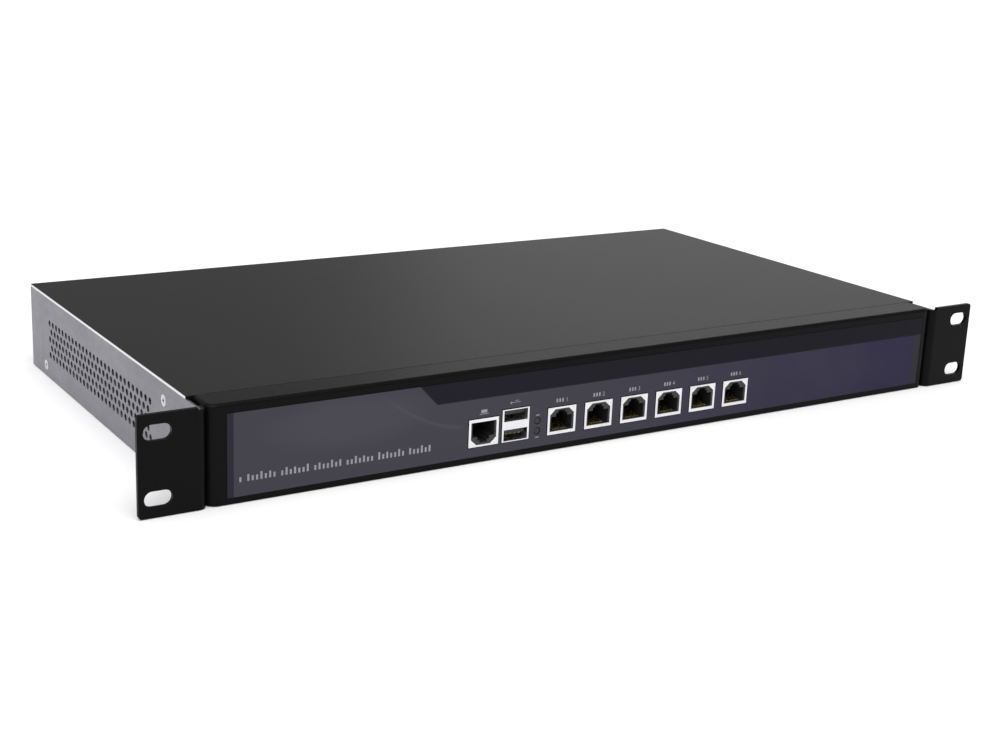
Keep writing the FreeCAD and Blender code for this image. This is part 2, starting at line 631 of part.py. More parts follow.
def rack_ear(label, side):
    """Angle bracket: slotted plate outside the chassis, flange inside its wall."""
    body = new_body(label)
    tip = "(%s * dim.rack_width / 2)" % side
    outer = "(%s * %s)" % (side, WALL)
    inner = "(%s * %s)" % (side, FLANGE)
    front = "-dim.ear_proud"
    rear_face = "(dim.ear_sheet - dim.ear_proud)"
    sketch = new_sketch(body, "XY_Plane")
    outline(sketch, (
        (inner, front),
        (tip, front),
        (tip, rear_face),
        (outer, rear_face),
        (outer, "dim.ear_flange"),
        (inner, "dim.ear_flange"),
    ))
    pad(body, sketch, ROOF)
    doc.recompute()
    bend = edges_at(body.Tip.Shape, UP, ((number(inner), -number("dim.ear_proud"), None),))
    round_edges(body, bend, "dim.ear_bend")
    plate = new_sketch(body, "XZ_Plane", "dim.ear_proud")
    beside = "(%s * (%s + dim.ear_bend))" % (side, FLANGE)
    rectangle(plate, beside, tip, ROOF, "dim.chassis_height")
    pad(body, plate, "dim.ear_sheet", reverse=True)
    doc.recompute()
    depth_axis = FreeCAD.Vector(0, 1, 0)
    ends = ((number(tip), None, 0), (number(tip), None, number("dim.chassis_height")))
    round_edges(body, edges_at(body.Tip.Shape, depth_axis, ends), "dim.ear_corner")
    slots = new_sketch(body, "XZ_Plane")
    middle = "dim.chassis_height / 2"
    for way in PLUS_MINUS:
        height = "(%s + %s * dim.slot_pitch / 2)" % (middle, way)
        across = "(%s * (dim.rack_width / 2 - dim.slot_inset))" % side
        obround(slots, across, height, "dim.slot_length", "dim.slot_width")
    pocket(body, slots, "4 * dim.ear_sheet", midplane=True)
    clear = new_sketch(body, "YZ_Plane", inner)
    behind = "(dim.ear_sheet + dim.ear_bend)"
    rectangle(clear, behind, "(dim.ear_flange + 1)", "-1", FLOOR)
    rectangle(clear, behind, "(dim.ear_flange + 1)", "(%s - dim.tray_sheet)" % ROOF, "dim.chassis_height")
    pocket(body, clear, "4 * dim.ear_sheet", midplane=True)
    screws = new_sketch(body, "YZ_Plane", inner)
    for height in ("dim.side_screw_high", "dim.side_screw_low"):
        circle(screws, "dim.side_screw_back", height, "dim.screw_dimple")
    for height in PANEL_SCREW_HEIGHTS:
        circle(screws, "dim.panel_screw_back", height, "dim.screw_shank + dim.fit_gap")
    pocket(body, screws, "4 * dim.ear_sheet", midplane=True)
    node(label, body)


PANEL_SCREW_HEIGHTS = ("dim.panel_screw_low", "dim.panel_screw_high")


def rear_panel():
    """Rear wall between the side walls, with side tabs and openings for the fans, inlet and switch."""
    body = new_body("rear_panel")
    side = "(%s - dim.fit_gap)" % WALL
    sketch = new_sketch(body, "XZ_Plane", "-(%s)" % REAR)
    rectangle(sketch, "-%s" % side, side, FLOOR, "(%s)" % ROOF)
    pad(body, sketch, "dim.tray_sheet")
    tabs = new_sketch(body, "XY_Plane", FLOOR)
    front = "(dim.tab_screw_back - dim.rear_tab_deep)"
    rear = "(%s - dim.tray_sheet)" % REAR
    rectangle(tabs, "-%s" % side, "-%s + dim.tray_sheet" % side, front, rear)
    rectangle(tabs, "%s - dim.tray_sheet" % side, side, front, rear)
    pad(body, tabs, "dim.rear_tab_high")
    top = new_sketch(body, "XZ_Plane", "-(%s)" % rear)
    reach = "(%s - dim.flange_wide - 1)" % HALF
    rectangle(top, "-%s" % reach, reach, "(%s - dim.tray_sheet)" % ROOF, ROOF)
    pad(body, top, "dim.rear_lip")
    rear_holes(body)
    first = "(dim.rear_vent_inset - %s)" % HALF
    add_vents(body, first, "X_Axis", REAR_VENT_COLUMNS, "XZ_Plane", "-(%s)" % REAR, "4 * dim.tray_sheet")
    node("rear_panel", body)


def fan_centres():
    """Middles of the fans, left to right."""
    return ["(dim.fan_first + %d * dim.fan_pitch)" % index for index in range(FANS)]


def rear_holes(body):
    """Fan grilles, inlet and switch openings and the screw holes of the rear panel."""
    cutting = "4 * dim.tray_sheet"
    holes = new_sketch(body, "XZ_Plane", "-(%s)" % REAR)
    for middle in COVER_TABS:
        circle(holes, middle, COVER_SCREW_HIGH, "dim.screw_shank + dim.fit_gap")
    low, high = between(INLET_AT, "dim.inlet_wide + 2 * dim.fit_gap")
    bottom, top = between("dim.service_high", "dim.inlet_high + 2 * dim.fit_gap")
    rectangle(holes, low, high, bottom, top)
    for way in PLUS_MINUS:
        screw = "(%s + %s * dim.inlet_screws / 2)" % (INLET_AT, way)
        circle(holes, screw, "dim.service_high", "dim.screw_shank + dim.fit_gap")
    low, high = between(ROCKER_AT, "%s + 2 * dim.fit_gap" % SWITCH_WIDE)
    bottom, top = between("dim.service_high", "%s + 2 * dim.fit_gap" % SWITCH_HIGH)
    rectangle(holes, low, high, bottom, top)
    for middle in fan_centres():
        for side in PLUS_MINUS:
            for way in PLUS_MINUS:
                u = "(%s + %s * dim.fan_hole_pitch / 2)" % (middle, side)
                v = "(dim.fan_axis + %s * dim.fan_hole_pitch / 2)" % way
                circle(holes, u, v, "dim.screw_shank + dim.fit_gap")
    pocket(body, holes, cutting, midplane=True)
    for side in PLUS_MINUS:
        tab_hole = new_sketch(body, "YZ_Plane", "%s * %s" % (side, WALL))
        circle(tab_hole, "dim.tab_screw_back", "dim.tab_screw_high", "dim.screw_dimple")
        pocket(body, tab_hole, cutting, midplane=True)
    for middle in fan_centres():
        for rings in GRILLE_RINGS:
            fan_grille_ring(body, middle, *rings)


GRILLE_RINGS = ((4.0, 7.2), (8.6, 11.8), (13.2, 16.4))
GRILLE_BRIDGE = 2.0


def fan_grille_ring(body, middle, inside, outside):
    """Four curved slots round a fan's axis, with a bridge between each two."""
    sketch = new_sketch(body, "XZ_Plane", "-(%s)" % REAR)
    centre = FreeCAD.Vector(number(middle), number("dim.fan_axis"), 0)
    normal = FreeCAD.Vector(0, 0, 1)
    for quarter in range(4):
        base = sketch.GeometryCount
        rims = []
        for radius in (inside, outside):
            half_gap = math.asin(GRILLE_BRIDGE / 2 / radius)
            start = quarter * math.pi / 2 + half_gap + math.pi / 4
            finish = (quarter + 1) * math.pi / 2 - half_gap + math.pi / 4
            rims.append(Part.ArcOfCircle(Part.Circle(centre, normal, radius), start, finish))
        inner, outer = rims
        sketch.addGeometry(outer, False)
        sketch.addGeometry(Part.LineSegment(outer.EndPoint, inner.EndPoint), False)
        sketch.addGeometry(inner, False)
        sketch.addGeometry(Part.LineSegment(inner.StartPoint, outer.StartPoint), False)
        sketch.addConstraint(Sketcher.Constraint("Coincident", base, 2, base + 1, 1))
        sketch.addConstraint(Sketcher.Constraint("Coincident", base + 1, 2, base + 2, 2))
        sketch.addConstraint(Sketcher.Constraint("Coincident", base + 2, 1, base + 3, 1))
        sketch.addConstraint(Sketcher.Constraint("Coincident", base + 3, 2, base, 1))
        for arc, radius in ((base, outside), (base + 2, inside)):
            sketch.addConstraint(Sketcher.Constraint("Radius", arc, radius))
            fix_point(sketch, arc, 3, middle, "dim.fan_axis")
    pocket(body, sketch, "4 * dim.tray_sheet", midplane=True)


# ---- fasteners ------------------------------------------------------------------------------------


def cross_recess(name, x, y, z, along, start):
    """Cross-shaped recess of a screw head, as two thin blocks about a point."""
    deep = (start, "(%s + dim.recess_deep)" % start)
    blocks = []
    slot = ("dim.recess_wide", "dim.recess_thin")
    for turn, (first, second) in enumerate((slot, slot[::-1])):
        sides = {
            "x": (deep, between(y, first), between(z, second)),
            "y": (between(x, first), deep, between(z, second)),
            "z": (between(x, first), between(y, second), deep),
        }
        blocks.append(box("%s_%d" % (name, turn), *sides[along]))
    return fuse(name, blocks)


def screw(name, x, y, z, along, length, head="pan", way="1"):
    """Screw with its head on (pan) or in (flat) the surface at a point, its shank running "way" along an axis."""
    forward = way == "1"
    spot = {"x": x, "y": y, "z": z}
    surface = spot[along]
    if head == "pan":
        head_low = "(%s - dim.pan_height)" % surface if forward else surface
        recess = head_low if forward else "(%s + dim.pan_height - dim.recess_deep)" % surface
        shank_low = surface if forward else "(%s - %s)" % (surface, length)
        shank_long = length
    else:
        head_low = surface if forward else "(%s - dim.flat_head)" % surface
        recess = surface if forward else "(%s - dim.recess_deep)" % surface
        shank_low = "(%s + dim.flat_head)" % surface if forward else "(%s - %s)" % (surface, length)
        shank_long = "(%s - dim.flat_head)" % length
    spot[along] = head_low
    if head == "pan":
        top = cylinder(name + "_head", "dim.screw_head", "dim.pan_height", *spot.values(), along)
    else:
        radii = ("dim.screw_head", "dim.screw_shank") if forward else ("dim.screw_shank", "dim.screw_head")
        top = cone(name + "_head", *radii, "dim.flat_head", *spot.values(), along)
    spot[along] = shank_low
    shank = cylinder(name + "_shank", "dim.screw_shank", shank_long, *spot.values(), along)
    whole = fuse(name + "_whole", [top, shank])
    return cut(name, whole, [cross_recess(name + "_recess", x, y, z, along, recess)])


def fasteners(inlet_screws):
    """Screws of the ears, the panels and the cover; the inlet's screws are of the same flat-headed kind."""
    flat_screws = []
    panel_screws = []
    for side, way, name in (("-1", "1", "left"), ("1", "-1", "right")):
        outside = "(%s * %s)" % (side, HALF)
        for level, height in enumerate(("dim.side_screw_high", "dim.side_screw_low")):
            tag = "ear_screw_%s_%d" % (name, level)
            flat_screws.append(screw(tag, outside, "dim.side_screw_back", height, "x", "6", "flat", way))
        rear_spot = (outside, "dim.tab_screw_back", "dim.tab_screw_high")
        flat_screws.append(screw("tab_screw_" + name, *rear_spot, "x", "6", "flat", way))
        inside = "(%s * (%s - dim.panel_sheet))" % (side, FLANGE)
        outward = "-1" if way == "1" else "1"
        for level, height in enumerate(PANEL_SCREW_HEIGHTS):
            tag = "panel_screw_%s_%d" % (name, level)
            length = "(dim.panel_sheet + dim.ear_sheet - 0.4)"
            spot = (inside, "dim.panel_screw_back", height)
            panel_screws.append(screw(tag, *spot, "x", length, "pan", outward))
    cover_screws = []
    for index, middle in enumerate(COVER_TABS):
        tag = "cover_screw_%d" % index
        spot = (middle, "dim.chassis_depth", COVER_SCREW_HIGH)
        cover_screws.append(screw(tag, *spot, "y", "5", "pan", "-1"))
    node("flat_head_screws", group("flat_head_screws", flat_screws + inlet_screws))
    node("front_panel_screws", group("front_panel_screws", panel_screws))
    node("cover_screws", group("cover_screws", cover_screws))


# ---- front sockets --------------------------------------------------------------------------------


def jack_mouth(name, middle, start, finish, latch):
    """Space that a network plug fills: a block with a stepped latch channel above or below."""
    deep = (start, finish)
    sill = "dim.mouth_sill" if latch == "1" else "(dim.jack_high - dim.mouth_high - dim.mouth_sill)"
    low = "(%s + %s)" % (BOARD_TOP, sill)
    high = "(%s + dim.mouth_high)" % low
    pieces = [box(name + "_block", between(middle, "dim.mouth_wide"), deep, (low, high))]
    for index, (wide, tall) in enumerate((("6.4", "1.6"), ("4", "2.8"))):
        if latch == "1":
            spread = ("(%s - 0.5)" % high, "(%s + %s)" % (high, tall))
        else:
            spread = ("(%s - %s)" % (low, tall), "(%s + 0.5)" % low)
        pieces.append(box("%s_channel_%d" % (name, index), between(middle, wide), deep, spread))
    return fuse(name, pieces)


def jack_shield(name, middle, latch):
    """Folded shield, open below, with a window whose shoulders slope to the latch notch."""
    body = new_body(name)
    front = "-dim.jack_proud"
    rear = "(dim.jack_deep - dim.jack_proud)"
    outside = new_sketch(body, "XY_Plane", BOARD_TOP)
    rectangle(outside, *between(middle, "dim.jack_wide"), front, rear)
    pad(body, outside, "dim.jack_high")
    room = new_sketch(body, "XY_Plane", BOARD_TOP)
    inside = between(middle, "dim.jack_wide - 2 * dim.jack_sheet")
    rectangle(room, *inside, "(%s + dim.jack_sheet)" % front, "(%s - dim.jack_sheet)" % rear)
    pocket(body, room, "dim.jack_high - dim.jack_sheet", reverse=True)
    window = new_sketch(body, "XZ_Plane", "dim.jack_proud")
    left, right = between(middle, "dim.jack_wide - 2 * dim.window_side")
    neck_left, neck_right = between(middle, "dim.window_neck")
    top = "(dim.jack_high - dim.window_rim)"
    levels = ("dim.window_sill", "(%s - dim.window_slope)" % top, top)
    if latch == "-1":
        levels = tuple("(dim.jack_high - %s)" % level for level in levels)
    sill, shoulder, notch = ("(%s + %s)" % (BOARD_TOP, level) for level in levels)
    outline(window, (
        (left, sill),
        (right, sill),
        (right, shoulder),
        (neck_right, notch),
        (neck_left, notch),
        (left, shoulder),
    ))
    pocket(body, window, "dim.jack_sheet + 0.2", reverse=False)
    node(name, body)


def network_jack(name, middle, latch):
    """Shield and plastic insert of one network jack, and its eight contacts.

    latch is 1 where the plug's latch is on top and -1 where it is below.
    """
    jack_shield(name + "_shield", middle, latch)
    front = "-dim.jack_proud"
    rear = "(dim.jack_deep - dim.jack_proud)"
    shell = "(dim.jack_sheet + dim.insert_gap)"
    block = box(
        name + "_block",
        between(middle, "dim.jack_wide - 2 * %s" % shell),
        ("(%s + %s)" % (front, shell), "(%s - %s)" % (rear, shell)),
        (BOARD_TOP, "(%s + dim.jack_high - %s)" % (BOARD_TOP, shell)),
    )
    mouth = jack_mouth(name + "_mouth", middle, "(%s - 1)" % front, "(%s + dim.mouth_deep)" % front, latch)
    insert = cut(name + "_insert", block, [mouth])
    contacts = []
    rest = "dim.mouth_sill" if latch == "1" else "(dim.jack_high - dim.mouth_sill)"
    sink = "0.15" if latch == "1" else "0.2"
    lean = CONTACT_LEAN if latch == "1" else -CONTACT_LEAN
    for index in range(CONTACTS):
        wire = doc.addObject("Part::Box", "%s_contact_%d" % (name, index))
        wire.setExpression("Length", "dim.contact_wide")
        wire.setExpression("Width", "dim.contact_long")
        wire.setExpression("Height", "dim.contact_thick")
        wire.Placement = FreeCAD.Placement(FreeCAD.Vector(), FreeCAD.Rotation(ACROSS, lean))
        from_middle = "%g * dim.contact_pitch - dim.contact_wide / 2" % (index - (CONTACTS - 1) / 2)
        start = back("(dim.mouth_deep - dim.jack_proud - dim.contact_long - 0.5)")
        place(wire, "(%s + %s)" % (middle, from_middle), start, "(%s + %s - %s)" % (BOARD_TOP, rest, sink))
        contacts.append(wire)
    return insert, contacts


def front_sockets():
    """Network and console jacks, the double USB socket and the status lights."""
    jacks = [("lan_jack_%d" % index, middle, "1") for index, middle in enumerate(jack_centres(), start=1)]
    jacks.append(("console_jack", "dim.console_at", "-1"))
    inserts = []
    contacts = []
    for name, middle, latch in jacks:
        insert, wires = network_jack(name, middle, latch)
        inserts.append(insert)
        contacts += wires
    contacts += usb_socket()
    node("jack_inserts", group("jack_inserts", inserts))
    node("socket_contacts", group("socket_contacts", contacts))
    status_lights()


def usb_levels():
    """(low, high) of the lower and the upper USB opening."""
    low = "(%s + dim.usb_wall)" % BOARD_TOP
    top = "(%s + dim.usb_high - dim.usb_wall)" % BOARD_TOP
    return (low, "(%s + dim.usb_mouth_high)" % low), ("(%s - dim.usb_mouth_high)" % top, top)


def usb_socket():
    """Shell with two openings, a tongue in each and the contacts on the tongues."""
    front = "-dim.jack_proud"
    rear = "(dim.usb_deep - dim.jack_proud)"
    high = (BOARD_TOP, "(%s + dim.usb_high)" % BOARD_TOP)
    shell = box("usb_outer", between("dim.usb_at", "dim.usb_wide"), (front, rear), high)
    mouths = []
    tongues = []
    contacts = []
    wide = between("dim.usb_at", "dim.usb_mouth_wide")
    root_wide = between("dim.usb_at", "dim.usb_mouth_wide - 2 * dim.insert_gap")
    for level, (low, top) in enumerate(usb_levels()):
        open_to = "(%s - dim.usb_wall)" % rear
        mouths.append(box("usb_mouth_%d" % level, wide, ("(%s - 1)" % front, open_to), (low, top)))
        under = "(%s - dim.tongue_drop - dim.tongue_thick)" % top
        over = "(%s - dim.tongue_drop)" % top
        blade_deep = ("dim.tongue_back", "(%s - dim.tongue_root)" % rear)
        blade = box("usb_blade_%d" % level, between("dim.usb_at", "dim.tongue_wide"), blade_deep, (under, over))
        root_deep = ("(%s - dim.tongue_root - 1)" % rear, "(%s - dim.insert_gap)" % open_to)
        root_high = ("(%s + dim.insert_gap)" % low, "(%s - dim.insert_gap)" % top)
        root = box("usb_root_%d" % level, root_wide, root_deep, root_high)
        tongues.append(fuse("usb_tongue_%d" % level, [blade, root]))
        for index in range(USB_CONTACTS):
            middle = "(dim.usb_at + %g * dim.usb_contact_pitch)" % (index - (USB_CONTACTS - 1) / 2)
            pin_deep = ("(dim.tongue_back + 0.8)", "(%s - dim.tongue_root - 1)" % rear)
            pin_high = ("(%s - 0.2)" % under, under)
            contacts.append(box("usb_pin_%d_%d" % (level, index), between(middle, "1"), pin_deep, pin_high))
    node("usb_shell", cut("usb_shell", shell, mouths))
    node("usb_tongues", group("usb_tongues", tongues))
    return contacts


def status_lights():
    """Two lenses in a black holder on the mainboard."""
    high = (BOARD_TOP, "(dim.light_low + dim.light_pitch + 2.6)")
    holder = box("light_block", between("dim.light_at", "5"), ("2.4", "9"), high)
    bores = []
    lenses = []
    for index in range(2):
        height = "(dim.light_low + %d * dim.light_pitch)" % index
        radius = "(dim.light_radius + dim.insert_gap)"
        bores.append(cylinder("light_bore_%d" % index, radius, "5", "dim.light_at", "2", height))
        lenses.append(cylinder("light_lens_%d" % index, "dim.light_radius", "6.8", "dim.light_at", "0", height))
    node("light_holder", cut("light_holder", holder, bores))
    node("light_lenses", group("light_lenses", lenses))


# ---- mainboard ------------------------------------------------------------------------------------

BOARD_HOLES = (("-88", "28"), ("-88", "166"), ("92", "28"), ("92", "166"), ("-2", "166"), ("92", "98"))


def mainboard():
    """Circuit board on standoffs, with its screws."""
    low = "(dim.tray_sheet + dim.standoff_height)"
    left = "-dim.board_left"
    right = "dim.board_right"
    front = "dim.board_front"
    rear = "(dim.board_front + dim.board_deep)"
    plate = box("board_plate", (left, right), (front, rear), (low, BOARD_TOP))
    holes = []
    standoffs = []
    screws = []
    for index, (x, y) in enumerate(BOARD_HOLES):
        holes.append(cylinder("board_hole_%d" % index, "1.8", "4", x, y, "(%s - 1)" % low, "z"))
        post = cylinder("post_%d" % index, "dim.standoff_radius", "dim.standoff_height", x, y, FLOOR, "z")
        bore = cylinder("post_bore_%d" % index, "1.6", "4.5", x, y, "(%s - 4)" % low, "z")
        standoffs.append(cut("standoff_%d" % index, post, [bore]))
        screws.append(screw("board_screw_%d" % index, x, y, BOARD_TOP, "z", "5", "pan", "-1"))
    node("mainboard", cut("mainboard", plate, holes))
    node("board_standoffs", group("board_standoffs", standoffs))
    return screws


SINK_MIDDLE = "(dim.sink_back + dim.sink_wide / 2)"
CELL_PLACE = ("-62", "84")


def on_board(height):
    """(low, high) of something this high that stands on the mainboard."""
    return (BOARD_TOP, "(%s + %s)" % (BOARD_TOP, height))


def from_edge(edge, near, far):
    """(low, high) between two distances behind or right of an edge."""
    return ("(%s + %s)" % (edge, near), "(%s + %s)" % (edge, far))


def sink_corners():
    """Places of the heat sink's four screws."""
    places = []
    for side in PLUS_MINUS:
        for way in PLUS_MINUS:
            x = "(dim.chip_at + %s * (dim.sink_wide / 2 - dim.sink_screw_inset))" % side
            y = "(%s + %s * (dim.sink_wide / 2 - dim.sink_screw_inset))" % (SINK_MIDDLE, way)
            places.append((x, y))
    return places


def processor():
    """Processor package under a finned heat sink held by four screws."""
    chip_top = "(%s + dim.chip_high)" % BOARD_TOP
    base_top = "(%s + dim.sink_base)" % chip_top
    chip = (between("dim.chip_at", "dim.chip_side"), between(SINK_MIDDLE, "dim.chip_side"))
    node("processor", box("processor", *chip, (BOARD_TOP, chip_top)))
    body = new_body("heat_sink")
    base = new_sketch(body, "XY_Plane", chip_top)
    left, right = between("dim.chip_at", "dim.sink_wide")
    front, rear = between(SINK_MIDDLE, "dim.sink_wide")
    rectangle(base, left, right, front, rear)
    pad(body, base, "dim.sink_base")
    fin = new_sketch(body, "XY_Plane", base_top)
    rectangle(fin, left, "(%s + dim.fin_thick)" % left, front, rear)
    blade = pad(body, fin, "dim.sink_high - dim.sink_base")
    fins = body.newObject("PartDesign::LinearPattern", "heat_sink_fins")
    fins.Originals = [blade]
    fins.Direction = (origin_feature(body, "X_Axis"), [""])
    fins.setExpression("Length", "dim.sink_wide - dim.fin_thick")
    fins.Occurrences = SINK_FINS
    body.Tip = fins
    corners = new_sketch(body, "XY_Plane", "(%s + dim.sink_high)" % chip_top)
    for x, y in sink_corners():
        circle(corners, x, y, "dim.screw_head + 4 * dim.fit_gap")
    pocket(body, corners, "dim.sink_high - dim.sink_base")
    bores = new_sketch(body, "XY_Plane", base_top)
    screws = []
    for index, (x, y) in enumerate(sink_corners()):
        circle(bores, x, y, "dim.screw_shank + dim.fit_gap")
        length = "(dim.sink_base + dim.chip_high - 0.3)"
        screws.append(screw("sink_screw_%d" % index, x, y, base_top, "z", length, "pan", "-1"))
    pocket(body, bores, "dim.sink_base + 1")
    node("heat_sink", body)
    return screws


def memory():
    """Memory module lying in its socket, with its chips."""
    left = "dim.memory_left"
    right = "(dim.memory_left + dim.memory_long)"
    front = "dim.memory_back"
    high = on_board("5.2")
    arm = "dim.memory_arm"
    arms = [box("memory_bar", (left, right), from_edge(front, "0", "5"), high)]
    for side, edge in enumerate((left, "(%s - %s)" % (right, arm))):
        spread = from_edge(edge, "0", arm)
        arms.append(box("memory_arm_%d" % side, spread, from_edge(front, "0", "28"), high))
    slot_low = "(%s + 3)" % BOARD_TOP
    inside = ("(%s + %s)" % (left, arm), "(%s - %s)" % (right, arm))
    slot = box("memory_slot", inside, from_edge(front, "2", "6"), from_edge(slot_low, "0", "1.1"))
    node("memory_socket", cut("memory_socket", fuse("memory_frame", arms), [slot]))
    across = ("(%s + %s + 0.1)" % (left, arm), "(%s - %s - 0.1)" % (right, arm))
    module_top = "(%s + dim.insert_gap + 1)" % slot_low
    module_high = ("(%s + dim.insert_gap)" % slot_low, module_top)
    node("memory_module", box("memory_module", across, from_edge(front, "2.1", "32"), module_high))
    chips = []
    for index in range(MEMORY_CHIPS):
        x = "(%s + 5 + %d * 15.5)" % (left, index)
        chip = (from_edge(x, "0", "11"), from_edge(front, "10", "22"), from_edge(module_top, "0", "1"))
        chips.append(box("memory_chip_%d" % index, *chip))
    return chips


def board_parts():
    """Network controllers, coils, capacitors, connectors and the coin cell on the mainboard."""
    chips = memory()
    for index, middle in enumerate(jack_centres()):
        spot = (between(middle, "9"), from_edge("dim.controller_back", "0", "9"), on_board("1"))
        chips.append(box("controller_%d" % index, *spot))
    chips.append(box("firmware_chip", ("-78", "-70"), ("100", "106"), on_board("1.6")))
    node("chips", group("chips", chips))
    coils = []
    for index in range(4):
        front = "(66 + %d * 13)" % index
        coils.append(box("coil_%d" % index, ("52", "62"), from_edge(front, "0", "10"), on_board("5")))
    node("power_coils", group("power_coils", coils))
    cans = []
    for index in range(6):
        cans.append(cylinder("can_%d" % index, "4", "11", "72", "(64 + %d * 10.5)" % index, BOARD_TOP, "z"))
    node("board_capacitors", group("board_capacitors", cans))
    x, y = CELL_PLACE
    floor = "(%s + 0.8)" % BOARD_TOP
    cup = cylinder("cell_cup", "dim.cell_radius + 1.4", "4", x, y, BOARD_TOP, "z")
    room = cylinder("cell_room", "dim.cell_radius + dim.fit_gap", "4", x, y, floor, "z")
    node("coin_cell_holder", cut("coin_cell_holder", cup, [room]))
    node("coin_cell", cylinder("coin_cell", "dim.cell_radius", "3.2", x, y, floor, "z"))
    plugs = [
        box("power_plug", ("84", "96"), ("114", "136"), on_board("11")),
        box("data_plug", ("-93", "-86"), ("106", "122"), on_board("8")),
        box("drive_power_plug", ("-93", "-86"), ("132", "142"), on_board("8")),
    ]
    for index, middle in enumerate(fan_centres()):
        plugs.append(box("fan_plug_%d" % index, between(middle, "8"), ("160", "166"), on_board("8")))
    node("board_connectors", group("board_connectors", plugs))


# ---- drive ----------------------------------------------------------------------------------------


DRIVE_LEFT = "(dim.drive_inset - %s)" % HALF
DRIVE_RIGHT = "(%s + dim.drive_wide)" % DRIVE_LEFT
DRIVE_REAR = "(dim.drive_back + dim.drive_long)"


def drive_holes():
    """(tag, x, y) of the drive's four screws."""
    places = []
    for row, y in enumerate(("(dim.drive_back + 14)", "(%s - 9.4)" % DRIVE_REAR)):
        for side, x in enumerate(("(%s + 4)" % DRIVE_LEFT, "(%s - 4)" % DRIVE_RIGHT)):
            places.append(("%d_%d" % (row, side), x, y))
    return places


def drive():
    """Solid state drive on a raised bracket."""
    across = (DRIVE_LEFT, DRIVE_RIGHT)
    deep = ("dim.drive_back", DRIVE_REAR)
    shelf_low = "(%s + dim.shelf_rise)" % FLOOR
    shelf_high = "(%s + 1)" % shelf_low
    feet = [box("shelf", across, deep, (shelf_low, shelf_high))]
    for index, start in enumerate(("(dim.drive_back + 8)", "(%s - 20)" % DRIVE_REAR)):
        foot_deep = from_edge(start, "0", "12")
        for side, edge in enumerate((DRIVE_LEFT, DRIVE_RIGHT)):
            inward = "1" if side == 0 else "-1"
            leg_x = (edge, "(%s + %s)" % (edge, inward))
            sole_x = (edge, "(%s + 8 * %s)" % (edge, inward))
            if side == 1:
                leg_x, sole_x = leg_x[::-1], sole_x[::-1]
            feet.append(box("leg_%d_%d" % (index, side), leg_x, foot_deep, (FLOOR, shelf_low)))
            feet.append(box("sole_%d_%d" % (index, side), sole_x, foot_deep, from_edge(FLOOR, "0", "1")))
    hole = "dim.screw_shank + dim.fit_gap"
    holes = []
    sockets = []
    screws = []
    for tag, x, y in drive_holes():
        holes.append(cylinder("shelf_hole_" + tag, hole, "3", x, y, "(%s - 1)" % shelf_low, "z"))
        sockets.append(cylinder("drive_socket_" + tag, hole, "3", x, y, shelf_high, "z"))
        screws.append(screw("drive_screw_" + tag, x, y, shelf_low, "z", "3.5", "pan", "1"))
    node("drive_bracket", cut("drive_bracket", fuse("drive_shelf", feet), holes))
    case = box("drive_case", across, deep, (shelf_high, "(%s + dim.drive_high)" % shelf_high))
    mouth_x = from_edge(DRIVE_LEFT, "10", "52")
    mouth_deep = ("(%s - 5)" % DRIVE_REAR, DRIVE_REAR)
    mouth = box("drive_mouth", mouth_x, mouth_deep, from_edge(shelf_high, "2", "5.5"))
    node("solid_state_drive", cut("solid_state_drive", case, [*sockets, mouth]))
    return screws


# ---- power supply ---------------------------------------------------------------------------------


SUPPLY_RIGHT = "(%s - dim.supply_inset)" % HALF
SUPPLY_LEFT = "(%s - dim.supply_wide)" % SUPPLY_RIGHT
SUPPLY_REAR = "(dim.supply_back + dim.supply_long)"
SUPPLY_TOP = "(%s + dim.supply_high)" % FLOOR
SUPPLY_BOARD_TOP = "(%s + dim.supply_sheet + dim.supply_standoff + dim.board_thick)" % FLOOR

# Right of the case's left side, behind its front, radius and height of each capacitor.
SUPPLY_CANS = (
    ("18", "104", "10", "25"),
    ("44", "104", "10", "25"),
    ("14", "22", "5", "20"),
    ("28", "22", "5", "20"),
    ("42", "22", "5", "20"),
)


